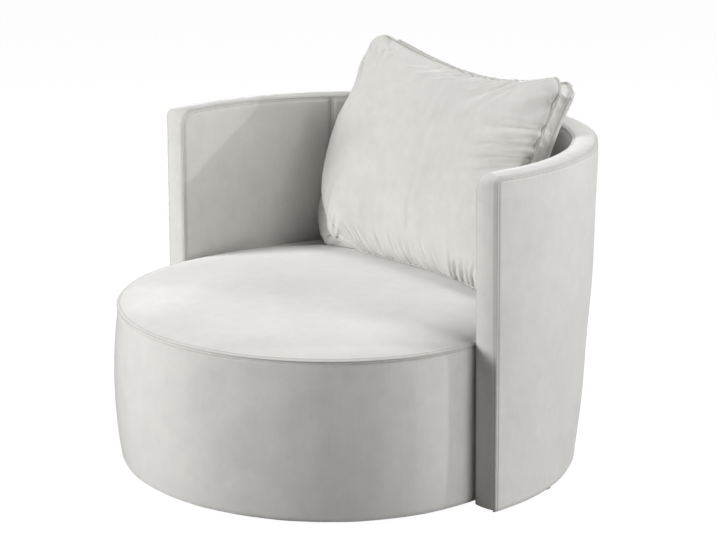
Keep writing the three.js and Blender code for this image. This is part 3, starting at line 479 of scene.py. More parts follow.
def ripples(place, pitch, seed):
    """Uneven waves along a seam, about one to each pitch, between -1 and 1. The odd ratios keep the
    waves out of step"""
    turns = 2 * np.pi * place / pitch
    slow = np.sin(turns * 0.173 + seed * 2.3)
    return (0.6 * np.sin(turns + seed * 1.7 + 1.9 * slow)
            + 0.4 * np.sin(turns * 0.618 + seed * 3.1 + 2.4 * np.sin(turns * 0.11 + seed)))


def seam_crush_and_shade(away, row):
    """How much darker the pile is drawn beside a seam and under its row of stitches, from 0 to 1: partly
    crushed pile, partly painted shade of the seam's groove and the stitch dimples
    """
    return np.clip(SEAM_DARK * dent(away, 0, SEAM_LINE) + STITCH_DARK * dent(away, row, STITCH_LINE), 0, 1)


def puckers(place, away, seed):
    """Short gathers that a sewn seam leaves in the cloth beside it"""
    fading = np.exp(-(away / PUCKER_REACH) ** PUCKER_FALL) * smooth(away / PUCKER_START)
    uneven = PUCKER_STEADY + PUCKER_SWING * ripples(place, PUCKER_PITCH * PUCKERS_IN_GROUP, seed + 4)
    return PUCKER_DEPTH * fading * uneven * ripples(place, PUCKER_PITCH, seed)


def slackness(points, size, seed):
    """Soft unevenness of padded cloth, between about -1 and 1, with bumps of about that size"""
    draw = np.random.default_rng(seed)
    total = 0
    for _ in range(SLACK_WAVES):
        direction = draw.normal(size=3)
        wave = size * draw.uniform(SLACK_SHORTEST, SLACK_LONGEST)
        direction *= 2 * np.pi / (wave * np.linalg.norm(direction))
        total = total + np.sin(points @ direction + draw.uniform(0, 2 * np.pi))
    return total / SLACK_SUM


def unevenness(points, away, height, size, fade, seed):
    """Slackness of a given height that dies away towards the seam"""
    return height * slackness(points, size, seed) * smooth(away / fade)


def facing(grid, ring=False):
    """Unit normals of a grid of points, by the right hand from its columns to its rows"""
    if ring:
        along = np.roll(grid, -1, axis=0) - np.roll(grid, 1, axis=0)
    else:
        along = np.gradient(grid, axis=0)
    normal = np.cross(along, np.gradient(grid, axis=1))
    return normal / np.maximum(np.linalg.norm(normal, axis=2, keepdims=True), 1e-12)


def cloth_body(name, face, back, finish, pressed, ring=False):
    """A closed padded body between the grid of its face and the grid of its hidden back"""
    around = np.concatenate([face, back[:, ::-1]], axis=1)
    # The face carries the painted darkening of crushed pile and seam shade, the hidden back none
    crushed_and_shaded = np.concatenate([pressed + 0 * face[..., 0], 0 * back[..., 0]], axis=1)
    columns, count = around.shape[:2]
    ids = np.arange(columns * count).reshape(columns, count)
    here = ids if ring else ids[:-1]
    there = np.roll(ids, -1, axis=0) if ring else ids[1:]
    quads = np.stack([here, there, np.roll(there, -1, axis=1), np.roll(here, -1, axis=1)], axis=-1)
    faces = quads.reshape(-1, 4).tolist()
    if not ring:
        for end in (ids[0], ids[-1]):
            for k in range(count // 2 - 1):
                faces.append((end[k], end[k + 1], end[count - 2 - k], end[count - 1 - k]))
    return closed_piece(name, around.reshape(-1, 3), faces, crushed_and_shaded.ravel(), finish)


def closed_piece(name, points, faces, pressed, finish):
    """A smooth closed mesh, its doubled points joined and its faces turned outwards, which knows
    where its pile is painted darker, for crushed pile and painted shade"""
    mesh = bpy.data.meshes.new(name)
    mesh.from_pydata(points.tolist(), [], faces)
    mesh.attributes.new("pressed", "FLOAT", "POINT").data.foreach_set("value", pressed.astype(np.float32))
    shape = bmesh.new()
    shape.from_mesh(mesh)
    bmesh.ops.remove_doubles(shape, verts=shape.verts, dist=1e-6)
    bmesh.ops.recalc_face_normals(shape, faces=shape.faces)
    shape.to_mesh(mesh)
    shape.free()
    mesh.shade_smooth()
    mesh.materials.append(finish)
    piece = bpy.data.objects.new(name, mesh)
    scene.collection.objects.link(piece)
    return piece


def side_radius(z):
    return DRUM_RADIUS + DRUM_BELLY * arch((z - FLOOR_GAP) / DRUM_HEIGHT)


def drum_point(turn, radius, z):
    """A point of the drum's upholstery, pressed in where the arms clasp it"""
    from_front = np.minimum(turn, 2 * np.pi - turn)
    end = math.acos(PRESS_LEAD / DRUM_RADIUS)
    pressed = smooth((from_front - end + PRESS_RUN / DRUM_RADIUS) * DRUM_RADIUS / PRESS_RUN)
    depth = np.clip((radius - SKIN_RADIUS) / (side_radius(z) - SKIN_RADIUS), 0, 1)
    reach = radius - pressed * depth * (side_radius(z) - PRESSED_RADIUS)
    return np.stack([reach * np.sin(turn), AXIS_Y - reach * np.cos(turn), z + 0 * turn], axis=-1)


drum_turns = np.linspace(0, 2 * np.pi, DRUM_COLUMNS, endpoint=False)[:, None]
side_z = (FLOOR_GAP + DRUM_HEIGHT * eased(SIDE_ROWS))[None, :]
side_face = drum_point(drum_turns, side_radius(side_z), side_z)
below_seam = SEAM_Z - side_z + 0 * drum_turns
seam_run = drum_turns * DRUM_RADIUS + 0 * side_z
rise = unevenness(side_face, below_seam, height=0.0011, size=0.19, fade=0.03, seed=3)
rise = rise + unevenness(side_face * SIDE_BUMPS, below_seam, height=0.0005, size=0.06, fade=0.04, seed=8)
rise = rise + puckers(seam_run, below_seam, seed=1)
rise = rise - ROLL_DEPTH * rolled(below_seam, ROLL_REACH)
rise = rise - HEM_DEPTH * rolled(side_z - FLOOR_GAP, HEM_REACH)
rise = rise - sunk(below_seam)
side_out = facing(side_face, ring=True)
side_face = side_face + side_out * rise[..., None]
side_back = drum_point(drum_turns, SKIN_RADIUS + SKIN_ROOM, np.minimum(side_z, SEAM_Z - SIDE_LAP))
drum_side = cloth_body("drum_side", side_face, side_back, drum_velvet,
                       seam_crush_and_shade(below_seam, STITCH_AWAY), ring=True)
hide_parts("drum_side_cover", "drum_side_padding")
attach(drum_side, "chair")

# The seat. A crowned block of foam under a round velvet panel, sewn to the side strip with a plain
# seam that is topstitched on both sides.
SEAT_CROWN = 0.022
SEAT_ROWS = 60
SEAT_UNDERSIDE = 0.3203
SEAT_ROLL_DEPTH = 0.003
SEAT_CROWDING = 1.9
SEAT_FLATNESS = 4
SEAT_LAP = 0.0022
SEAT_LAP_INSET = 0.006
THREAD = (0.50, 0.49, 0.46, 1)
THREAD_WORN = (0.42, 0.41, 0.385, 1)
STITCH_PITCH = 0.0052
STITCH_LENGTH = 0.0042
STITCH_WIDTH = 0.0011
SHORTEST_STITCH = 0.86
LONGEST_STITCH = 1.06


def make_stitch_tree():
    """One thread loop at each pitch along the paths it is given, laid on the cloth's face"""
    tree = bpy.data.node_groups.new("topstitching", "GeometryNodeTree")
    inputs = (("Paths", "NodeSocketGeometry"), ("Pitch", "NodeSocketFloat"), ("Length", "NodeSocketFloat"),
              ("Width", "NodeSocketFloat"), ("Seed", "NodeSocketInt"), ("Thread", "NodeSocketMaterial"))
    for label, kind in inputs:
        tree.interface.new_socket(label, in_out="INPUT", socket_type=kind)
    tree.interface.new_socket("Stitches", in_out="OUTPUT", socket_type="NodeSocketGeometry")
    entry = tree.nodes.new("NodeGroupInput").outputs
    curve = add_node(tree, "GeometryNodeMeshToCurve", {0: entry["Paths"]}).outputs[0]
    spaced = add_node(tree, "GeometryNodeResampleCurve", {"Curve": curve, "Length": entry["Pitch"]},
                      mode="LENGTH").outputs[0]
    along = add_node(tree, "GeometryNodeInputTangent", {}).outputs[0]
    lay = add_node(tree, "GeometryNodeInputNamedAttribute", {"Name": "lay"},
                   data_type="FLOAT_VECTOR").outputs[0]
    turned = add_node(tree, "FunctionNodeAlignRotationToVector", {"Vector": along}, axis="X").outputs[0]
    laid = add_node(tree, "FunctionNodeAlignRotationToVector", {"Rotation": turned, "Vector": lay},
                    axis="Z", pivot_axis="X").outputs[0]
    loop = add_node(tree, "GeometryNodeMeshUVSphere", {"Segments": 6, "Rings": 4, "Radius": 0.5}).outputs[0]
    size = add_node(tree, "ShaderNodeCombineXYZ", {"X": entry["Length"], "Y": entry["Width"],
                    "Z": entry["Width"]}).outputs[0]
    thread = add_node(tree, "GeometryNodeTransform", {"Geometry": loop, "Scale": size}).outputs[0]
    uneven = add_node(tree, "FunctionNodeRandomValue", {"Seed": entry["Seed"]}, data_type="FLOAT")
    uneven.inputs[2].default_value = SHORTEST_STITCH
    uneven.inputs[3].default_value = LONGEST_STITCH
    placed = add_node(tree, "GeometryNodeInstanceOnPoints", {"Points": spaced, "Instance": thread,
                      "Rotation": laid, "Scale": uneven.outputs[1]}).outputs[0]
    real = add_node(tree, "GeometryNodeRealizeInstances", {0: placed}).outputs[0]
    soft = add_node(tree, "GeometryNodeSetShadeSmooth", {0: real}).outputs[0]
    done = add_node(tree, "GeometryNodeSetMaterial", {"Geometry": soft, "Material": entry["Thread"]})
    result = tree.nodes.new("NodeGroupOutput")
    tree.links.new(done.outputs[0], result.inputs[0])
    return tree


stitch_tree = make_stitch_tree()
thread = finished("velvet_thread", speckle, {"Plain": THREAD, "Worn": THREAD_WORN, "Fine": 2600,
                  "Smooth": 0.55, "Rough": 0.75}, bump_strength=0.4, bump_distance=0.0003,
                  Sheen_Weight=0.2)


def run_tree(name, base, tree, values):
    """The plain mesh that a Geometry Nodes tree makes from a base object, which is then removed"""
    worker = base.modifiers.new(name, "NODES")
    worker.node_group = tree
    for item in tree.interface.items_tree:
        if item.in_out == "INPUT" and item.name in values:
            worker[item.identifier] = values[item.name]
    bpy.context.view_layer.update()
    made = base.evaluated_get(bpy.context.evaluated_depsgraph_get())
    mesh = bpy.data.meshes.new_from_object(made)
    mesh.name = name
    bpy.data.objects.remove(base)
    piece = bpy.data.objects.new(name, mesh)
    scene.collection.objects.link(piece)
    return piece


def sew(name, paths, body, seed):
    """Rows of stitches along paths, each its points, the cloth's normals there, and whether it closes"""
    points, lays, edges = [], [], []
    for line, out, closes in paths:
        first = len(points)
        count = len(line)
        points.extend(line.tolist())
        lays.extend(out.tolist())
        edges.extend((first + i, first + i + 1) for i in range(count - 1))
        if closes:
            edges.append((first + count - 1, first))
    mesh = bpy.data.meshes.new(name)
    mesh.from_pydata(points, edges, [])
    lay = mesh.attributes.new("lay", "FLOAT_VECTOR", "POINT")
    lay.data.foreach_set("vector", np.array(lays, np.float32).ravel())
    base = bpy.data.objects.new(name, mesh)
    scene.collection.objects.link(base)
    piece = run_tree(name, base, stitch_tree, {"Pitch": STITCH_PITCH, "Length": STITCH_LENGTH,
                     "Width": STITCH_WIDTH, "Seed": seed, "Thread": thread})
    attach(piece, body)
    return piece


def nearest(values, wanted):
    """The number of the row that lies closest to a wanted place"""
    return int(np.argmin(np.abs(values - wanted)))


level_nap = (240.0, 9.0, 240.0)
seat_radii = (DRUM_RADIUS * (1 - (1 - np.linspace(0, 1, SEAT_ROWS)) ** SEAT_CROWDING))[None, :]
crown_z = SEAM_Z + SEAT_CROWN * np.sqrt(1 - (seat_radii / DRUM_RADIUS) ** SEAT_FLATNESS)
seat_face = drum_point(drum_turns, seat_radii, crown_z)
from_edge = np.maximum(DRUM_RADIUS - seat_radii, crown_z - SEAM_Z) + 0 * drum_turns
rise = unevenness(seat_face, from_edge, height=0.0016, size=0.26, fade=0.05, seed=5)
rise = rise + puckers(drum_turns * DRUM_RADIUS + 0 * seat_radii, from_edge, seed=2)
rise = rise - SEAT_ROLL_DEPTH * rolled(from_edge, ROLL_REACH)
rise = rise - sunk(from_edge)
seat_out = facing(seat_face, ring=True)
seat_out[:, 0] = (0, 0, 1)
seat_face = seat_face + seat_out * rise[..., None]
seat_face[:, 0] = seat_face[:, 0].mean(axis=0)
under_radii = np.linspace(0, SKIN_RADIUS, SEAT_ROWS - 2)
under_radii = np.concatenate([under_radii, [SKIN_RADIUS, DRUM_RADIUS - SEAT_LAP_INSET]])[None, :]
under_z = np.full((1, SEAT_ROWS), SEAT_UNDERSIDE)
under_z[0, -2:] = SEAM_Z - SEAT_LAP
seat_back = drum_point(drum_turns, under_radii, under_z)
seat_top = cloth_body("seat_top", seat_face, seat_back, velvet("velvet_seat", level_nap),
                      seam_crush_and_shade(from_edge, STITCH_AWAY), ring=True)
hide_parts("seat_top_cover", "seat_foam")
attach(seat_top, "chair")

low_row = nearest(below_seam[0], STITCH_AWAY)
high_row = nearest(from_edge[0], STITCH_AWAY)
drum_rows = [(side_face[:, low_row], side_out[:, low_row], True),
             (seat_face[:, high_row], seat_out[:, high_row], True)]
sew("drum_topstitching", drum_rows, "chair", seed=11)

# The back's outside. One wide velvet panel over thin foam, from one arm's front right round to the
# other, fullest at the rear, tucked under at the floor and sewn to the border at its top.
WALL_HEIGHT = 0.770
WALL_THICKNESS = 0.062
FLOOR_RADIUS = 0.5732
RIM_RADIUS = 0.5740
FLOOR_CENTRE = 0.0298
RIM_CENTRE = 0.0840
FLOOR_LEAD = 0.0393
RIM_LEAD = 0.0434
ARM_CORNER = 0.042
OUTER_ARM_CORNER = 0.020
COVER_EDGE = 0.0063
OUTSIDE_BULGE = 0.014
OUTSIDE_DEPTH = 0.0086
OUTSIDE_HEM = 0.0066
OUTSIDE_HEM_REACH = 0.012
OUTSIDE_ROLL_DEPTH = 0.0030
OUTSIDE_ROLL_REACH = 0.007
OUTSIDE_BUMPS = (1, 1, 0.4)
BACK_FULLNESS = 0.9
HEM_Z = 0.004
STITCHES_FROM_GAP = 0.004
CORNER_DETOUR = 0.57
OTHER_ARM = 5.0
RIM_Z = FLOOR_GAP + WALL_HEIGHT
WALL_COLUMNS = 560
WALL_ROWS = 72
CORNER_COLUMNS = 26


def wall_shape(inset, z):
    """The wall's radius, centre and end turn at a height, for a layer inset from its outside"""
    share = (z - FLOOR_GAP) / WALL_HEIGHT
    radius = FLOOR_RADIUS + (RIM_RADIUS - FLOOR_RADIUS) * share - inset
    centre = FLOOR_CENTRE + (RIM_CENTRE - FLOOR_CENTRE) * share
    lead = FLOOR_LEAD + (RIM_LEAD - FLOOR_LEAD) * share
    return radius, centre, np.pi / 2 + np.arcsin((centre + lead) / radius)


def wall_point(run, inset, z):
    """A point of the wall: run is -1 at the left arm's front and 1 at the right arm's"""
    radius, centre, end = wall_shape(inset, z)
    turn = end * run
    return np.stack([radius * np.sin(turn), AXIS_Y + centre + radius * np.cos(turn), z + 0 * turn],
                    axis=-1)


def half_length(inset):
    """The way along the rim from its middle to an arm's front"""
    radius, _, end = wall_shape(inset, RIM_Z)
    return radius * end


def corner_at(inset):
    """The rounding of the arms' top corners, tighter at the outside than at the inside"""
    return OUTER_ARM_CORNER + (ARM_CORNER - OUTER_ARM_CORNER) * smooth(inset / WALL_THICKNESS)


def panel_columns(inset, edge, columns):
    """The runs of a panel's columns and its top there, rounding both arms' top corners"""
    round_by = corner_at(inset)
    bend = round_by - edge
    turns = np.linspace(0, np.pi / 2, CORNER_COLUMNS)
    half = half_length(inset)
    corner = (round_by - bend * np.cos(turns)) / half - 1
    tops = RIM_Z - round_by + bend * np.sin(turns)
    middle = np.linspace(corner[-1], -corner[-1], columns)[1:-1]
    runs = np.concatenate([corner, middle, -corner[::-1]])
    return runs, np.concatenate([tops, np.full(len(middle), RIM_Z - edge), tops[::-1]])


def from_border(run, inset, z, edge):
    """How far a point lies inside the seam that follows the arms' fronts and the rim, and where"""
    round_by = corner_at(inset)
    ahead = (1 - np.abs(run)) * half_length(inset)
    back, up = round_by - ahead, z - (RIM_Z - round_by)
    in_corner = (back > 0) & (up > 0)
    slope = np.hypot(np.maximum(back, 0), np.maximum(up, 0))
    away = np.where(in_corner, round_by - slope, np.minimum(ahead, RIM_Z - z)) - edge
    angle = np.arctan2(np.maximum(up, 0), np.maximum(back, 1e-9))
    place = np.where(in_corner, RIM_Z - round_by + round_by * angle,
                     np.where(ahead < RIM_Z - z, z, RIM_Z + CORNER_DETOUR * round_by + ahead - round_by))
    return np.maximum(away, 0), place + np.where(run > 0, OTHER_ARM, 0.0)


def border_line(inset, away, arm_steps=150, corner_steps=14, rim_steps=600):
    """Runs and heights of a line that keeps its distance from the border seam"""
    half = half_length(inset)
    round_by = corner_at(inset)
    bend = round_by - COVER_EDGE - away
    turns = np.linspace(0, np.pi / 2, corner_steps)
    up = np.linspace(FLOOR_GAP + STITCHES_FROM_GAP, RIM_Z - round_by, arm_steps)[:-1]
    arm_run = np.full(len(up), (COVER_EDGE + away) / half - 1)
    corner_run = (round_by - bend * np.cos(turns)) / half - 1
    corner_z = RIM_Z - round_by + bend * np.sin(turns)
    rim_run = np.linspace(corner_run[-1], -corner_run[-1], rim_steps)[1:-1]
    runs = np.concatenate([arm_run, corner_run, rim_run, -corner_run[::-1], -arm_run[::-1]])
    z = np.concatenate([up, corner_z, np.full(len(rim_run), corner_z[-1]), corner_z[::-1], up[::-1]])
    return runs, z


def outside_fullness(run, z):
    """The swell of the outside, greatest half way up its rear"""
    return OUTSIDE_BULGE * np.cos(run * np.pi / 2) * arch((z - FLOOR_GAP) / WALL_HEIGHT)


def outside_rise(run, z, points):
    """How far the outside panel stands off its bare line"""
    away, place = from_border(run, 0.0, z, COVER_EDGE)
    rise = outside_fullness(run, z) + unevenness(points, away, height=0.0012, size=0.24, fade=0.05, seed=21)
    rise = rise + unevenness(points * OUTSIDE_BUMPS, away, height=0.0005, size=0.08, fade=0.03, seed=22)
    rise = rise + puckers(place, away, seed=6) - OUTSIDE_ROLL_DEPTH * rolled(away, OUTSIDE_ROLL_REACH)
    rise = rise - sunk(away)
    return rise - OUTSIDE_HEM * rolled(z - HEM_Z, OUTSIDE_HEM_REACH)


def outwards(run, z, inset=0.0):
    """The level direction that points away from the middle of the back's curve"""
    turn = run * wall_shape(inset, z)[2]
    return np.stack([np.sin(turn), np.cos(turn), 0 * turn], axis=-1)


def grid_of(runs, bottom, tops, rows):
    """Matching runs and heights for every point of a panel"""
    z = bottom + (tops[:, None] - bottom) * eased(rows)[None, :]
    return runs[:, None] + 0 * z, z


runs, tops = panel_columns(0.0, COVER_EDGE, WALL_COLUMNS)
run, z = grid_of(runs, HEM_Z, tops, WALL_ROWS)
outside = wall_point(run, 0.0, z)
outside_out = outwards(run, z)
outside_face = outside + outside_out * outside_rise(run, z, outside)[..., None]
back_fullness = outside_fullness(run, z) * BACK_FULLNESS
outside_back = wall_point(run, OUTSIDE_DEPTH, z) + outside_out * back_fullness[..., None]
outside_away, _ = from_border(run, 0.0, z, COVER_EDGE)
back_outside = cloth_body("back_outside", outside_face, outside_back, velvet("velvet_outside", upright_nap),
                          seam_crush_and_shade(outside_away, STITCH_AWAY))
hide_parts("back_outer_cover", "back_outer_padding")
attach(back_outside, "chair")
back_rows = []
line_run, line_z = border_line(0.0, STITCH_AWAY)
line = wall_point(line_run, 0.0, line_z)
line_out = outwards(line_run, line_z)
back_rows.append((line + line_out * outside_rise(line_run, line_z, line)[:, None], line_out, False))

# The back's inside. Three padded velvet panels, left, centre and right, over thicker foam. Two
# upright seams join them, each topstitched on both sides.
INSIDE_FOAM = 0.0172
INSIDE_FULLNESS = 0.0022
INSIDE_BOTTOM = 0.3306
INSIDE_SEAM = math.radians(53)
INSIDE_ROWS = 52
INSIDE_ROOM = 0.00015
INSIDE_COLUMNS = 110
INSIDE_PEAK = 0.016
INSIDE_EBB = 0.45
INSIDE_EBB_REACH = 0.05
INSIDE_ROLL_DEPTH = 0.0042
INSIDE_ROLL_REACH = 0.012
UPRIGHT_ROLL_DEPTH = 0.0022
UPRIGHT_ROLL_REACH = 0.007
UPRIGHT_PUCKERS = 0.7
UPRIGHT_LAP = 0.012
LAP_COLUMNS = 9
LAP_CROWDING = 1.7
ROW_FROM_BOTTOM = 0.05
ROW_FROM_SEAM = 0.006
ROW_STEPS = 90


def inside_panel(name, start, end, columns, seed):
    """One inside panel between two runs, rolled down to the seams round it"""
    runs, tops = panel_columns(WALL_THICKNESS, COVER_EDGE, columns * 3)
    seamed_start, seamed_end = start > -1, end < 1
    picked = (runs > start) & (runs < end)
    lap = UPRIGHT_LAP / half_length(WALL_THICKNESS)
    fine = lap * np.linspace(0, 1, LAP_COLUMNS) ** LAP_CROWDING
    first = start + fine if seamed_start else []
    last = (end - fine)[::-1] if seamed_end else []
    picked &= (runs > (start + lap if seamed_start else -2)) & (runs < (end - lap if seamed_end else 2))
    flat = RIM_Z - COVER_EDGE
    tops = np.concatenate([np.full(len(first), flat), tops[picked], np.full(len(last), flat)])
    runs = np.concatenate([first, runs[picked], last])
    run, z = grid_of(runs, INSIDE_BOTTOM, tops, INSIDE_ROWS)
    points = wall_point(run, WALL_THICKNESS, z)
    away, sideways, _ = from_seams(run, z, start, end)
    face = points + inwards(run, z) * inside_rise(run, z, points, start, end, seed)[..., None]
    back = wall_point(run, WALL_THICKNESS - INSIDE_FOAM, z)
    pressed = np.maximum(seam_crush_and_shade(away, STITCH_AWAY), seam_crush_and_shade(sideways, STITCH_AWAY))
    return cloth_body(name, face, back, velvet("velvet_" + name, upright_nap), pressed)


def inwards(run, z):
    """The level direction from the inside panels towards the seat"""
    return -outwards(run, z, WALL_THICKNESS)


def from_seams(run, z, start, end):
    """How far a point of an inside panel lies from the border seam and from its upright seams"""
    away, place = from_border(run, WALL_THICKNESS, z, COVER_EDGE)
    half = half_length(WALL_THICKNESS)
    from_start = (run - start) * half if start > -1 else away + 1
    from_end = (end - run) * half if end < 1 else away + 1
    return away, np.minimum(from_start, from_end), place


def inside_rise(run, z, points, start, end, seed):
    """How far an inside panel stands off its bare line"""
    away, sideways, place = from_seams(run, z, start, end)
    close = np.minimum(away, sideways)
    ebb = INSIDE_EBB * smooth((close - INSIDE_PEAK) / INSIDE_EBB_REACH)
    rise = INSIDE_FULLNESS * (smooth(close / INSIDE_PEAK) - ebb)
    rise = rise + unevenness(points, close, height=0.0011, size=0.2, fade=0.04, seed=seed)
    rise = rise + puckers(place, away, seed) + UPRIGHT_PUCKERS * puckers(z, sideways, seed + 1)
    rise = rise - INSIDE_ROLL_DEPTH * rolled(away, INSIDE_ROLL_REACH)
    rise = rise - UPRIGHT_ROLL_DEPTH * rolled(sideways, UPRIGHT_ROLL_REACH)
    return rise - sunk(away) - sunk(sideways)


_, _, inside_end = wall_shape(WALL_THICKNESS, RIM_Z)
seam_run = float(INSIDE_SEAM / inside_end)
inside_parts = (("inside_left", -1.0, -seam_run - INSIDE_ROOM, 44),
                ("inside_centre", -seam_run + INSIDE_ROOM, seam_run - INSIDE_ROOM, 45),
                ("inside_right", seam_run + INSIDE_ROOM, 1.0, 46))
for name, start, end, seed in inside_parts:
    panel = inside_panel(name, start, end, INSIDE_COLUMNS, seed)
    cad_name = name.replace("inside_", "inside_cover_")
    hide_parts(cad_name, "back_inner_foam")
    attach(panel, "chair")
    half = half_length(WALL_THICKNESS)
    for edge, side in ((start, 1), (end, -1)):
        if abs(edge) < 1:
            line_top = RIM_Z - COVER_EDGE - ROW_FROM_SEAM
            line_z = np.linspace(INSIDE_BOTTOM + ROW_FROM_BOTTOM, line_top, ROW_STEPS)
            line_run = np.full(ROW_STEPS, edge + side * STITCH_AWAY / half)
            line = wall_point(line_run, WALL_THICKNESS, line_z)
            out = inwards(line_run, line_z)
            lift = inside_rise(line_run, line_z, line, start, end, seed)
            back_rows.append((line + out * lift[:, None], out, False))

# The border. One strip of velvet over foam runs up one arm's front, round the rim and down the
# other arm. It is softly crowned and topstitched beside both of its seams.
BAND_CROWN = 0.004
BAND_UNDER = 0.0166
BAND_ROWS = 30
BAND_FOLD = 0.0032
BAND_STITCH = 0.0046
BAND_STITCH_LINE = 0.0014
BAND_MARGIN = 0.01
BAND_SPAN = 0.98
BAND_CROWDING = 0.8
BAND_FOLD_REACH = 0.007
BAND_PUCKERS = 0.8
BAND_RIPPLE = 0.0003
BAND_RIPPLE_PITCH = 0.045
BAND_FADE = 0.02
FOAM_FROM_OUTSIDE = 0.0095
FOAM_FROM_INSIDE = 0.0185
BAND_ENDS = slice(2, -2)


def band_points(insets, depths, arm_steps=170, corner_steps=18, rim_steps=640):
    """A grid along the strip: a column at each step of its path and a row at each inset"""
    rows = []
    for inset, depth in zip(insets, depths):
        half = half_length(inset)
        round_by = corner_at(inset)
        bend = round_by - depth
        up = np.linspace(FLOOR_GAP, RIM_Z - round_by, arm_steps)[:-1]
        turns = np.linspace(0, np.pi / 2, corner_steps)
        rim = np.linspace(round_by / half - 1, 1 - round_by / half, rim_steps)[1:-1]
        runs = np.concatenate([np.full(len(up), depth / half - 1),
                               (round_by - bend * np.cos(turns)) / half - 1])
        heights = np.concatenate([up, RIM_Z - round_by + bend * np.sin(turns)])
        runs = np.concatenate([runs, rim, -runs[::-1]])
        heights = np.concatenate([heights, np.full(len(rim), RIM_Z - depth), heights[::-1]])
        rows.append(wall_point(runs, inset, heights))
    return np.stack(rows, axis=1)


border_nap = (90.0, 90.0, 60.0)
band_share = eased(BAND_ROWS, BAND_CROWDING)
band_insets = WALL_THICKNESS * (BAND_MARGIN + BAND_SPAN * band_share)
band_edge = np.minimum(band_insets, WALL_THICKNESS - band_insets)
band_depths = BAND_CROWN * (2 * band_share - 1) ** 2 + BAND_FOLD * rolled(band_edge, BAND_FOLD_REACH)
band_face = band_points(band_insets, band_depths)
band_out = -facing(band_face)
band_steps = np.linalg.norm(np.diff(band_face[:, BAND_ROWS // 2], axis=0), axis=1)
band_run = np.concatenate([[0], np.cumsum(band_steps)])[:, None]
band_away = band_edge[None, :]
rise = puckers(band_run, band_away, seed=31) * BAND_PUCKERS
rise = rise - STITCH_SINK * BAND_PUCKERS * dent(band_away, BAND_STITCH, BAND_STITCH_LINE)
rise = rise + unevenness(band_face, band_away, height=0.0006, size=0.12, fade=BAND_FADE, seed=33)
rise = rise + BAND_RIPPLE * ripples(band_run, BAND_RIPPLE_PITCH, seed=35) * smooth(band_away / BAND_FADE)
band_face = band_face + band_out * rise[..., None]
under_insets = np.clip(band_insets, FOAM_FROM_OUTSIDE, WALL_THICKNESS - FOAM_FROM_INSIDE)
band_back = band_points(under_insets, np.full(BAND_ROWS, BAND_UNDER))
border = cloth_body("border", band_face, band_back, velvet("velvet_border", border_nap),
                    seam_crush_and_shade(band_away, BAND_STITCH))
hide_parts("border_band", "rim_foam")
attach(border, "chair")
inner_half = BAND_ROWS // 2
for row in (nearest(band_edge[:inner_half], BAND_STITCH),
            inner_half + nearest(band_edge[inner_half:], BAND_STITCH)):
    back_rows.append((band_face[BAND_ENDS, row], band_out[BAND_ENDS, row], False))
sew("back_topstitching", back_rows, "chair", seed=12)

# The infill. A crescent pad of velvet over board closes the space between the round seat and the
# back, and swells a little above the seat's seam.
PAD_INNER = 0.5041
PAD_ROOM = 0.0634
PAD_BOTTOM = 0.3304
PAD_TOP = SEAM_Z + 0.010
PAD_CROWN = 0.006
PAD_FALL = 0.016
PAD_TAPER = 0.34
PAD_START = -0.7575
PAD_COLUMNS = 300
PAD_ROWS = 26
PAD_CROWDING = 0.8
PAD_WIDTH = 0.09
PAD_SLACK = 0.0008
PAD_SLACK_SIZE = 0.15
PAD_ROLL_DEPTH = 0.004
PAD_ROLL_REACH = 0.012

pad_run = np.linspace(PAD_START, -PAD_START, PAD_COLUMNS)[:, None]
pad_share = eased(PAD_ROWS, PAD_CROWDING)[None, :]


def pad_points(z):
    """The pad's grid at a height, from the seat's edge to the back's inside"""
    outer = wall_point(pad_run, PAD_ROOM, z)
    outer[..., 1] -= AXIS_Y
    place = PAD_INNER / np.linalg.norm(outer[..., :2], axis=-1)
    scale = place + (1 - place) * pad_share
    return np.stack([outer[..., 0] * scale, outer[..., 1] * scale + AXIS_Y, outer[..., 2]], axis=-1)


pad_taper = smooth((-PAD_START - np.abs(pad_run)) / PAD_TAPER)
pad_z = PAD_TOP - PAD_FALL * (1 - pad_taper) + PAD_CROWN * arch(pad_share)
pad_face = pad_points(pad_z)
pad_edge = np.minimum(pad_share, 1 - pad_share) * PAD_WIDTH + 0 * pad_run
pad_face[..., 2] += (PAD_SLACK * slackness(pad_face, PAD_SLACK_SIZE, seed=41)
                     - PAD_ROLL_DEPTH * rolled(pad_edge, PAD_ROLL_REACH))
pad_back = pad_points(PAD_BOTTOM + 0 * pad_z)
infill = cloth_body("infill_pad", pad_face, pad_back, velvet("velvet_infill", level_nap), pressed=0)
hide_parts("rear_infill_pad")
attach(infill, "chair")

# The loose back cushion. Two velvet panels and a boxed strip are sewn round a soft filling, bowed by
# the round back and settled on the seat. Its seams hold while a simulation blows the cloth up; the
# fine gathers, seams and stitches come after.
CUSHION_WIDTH = 0.690
CUSHION_HEIGHT = 0.540
CUSHION_CORNER = 0.038
GUSSET = 0.046
BOTTOM_DRAW = 0.018
RIGHT_DRAW = 0.047
TOP_DRAW = 0.037
LEFT_SWELL = 0.029
LEFT_LIFT = 0.018
RIGHT_SAG = 0.009
CUSHION_CROWN = 0.062
CROWN_POWER = 2.8
CROWN_FULLNESS = 0.3
BOW = 0.060
GUSSET_BULGE = 0.012
CUSHION_LEAN = math.radians(-20.5)
CUSHION_TURN = math.radians(-5)
CUSHION_PLACE = Vector((0.010, 0.1727, 0.422))
CLOTH_STEP = 0.006
GUSSET_ROWS = 8
LOOSENESS = 0.02
GATHERING = 0.05
GATHER_REACH = 0.05
CLOTH = dict(quality=6, mass=0.3, tension_stiffness=15, compression_stiffness=5, shear_stiffness=5,
             bending_stiffness=0.5, air_damping=5, use_pressure=True, uniform_pressure_force=4)
FRAMES = 20
MOTION_CAP = 0.016
SINKING = 0.012
SINK_REACH = 0.05
EDGE_FADE = 0.130
SPLAY = 0.072
SPLAY_AT = 0.075
SPLAY_REACH = 0.100
LEFT_TUCK = 0.022
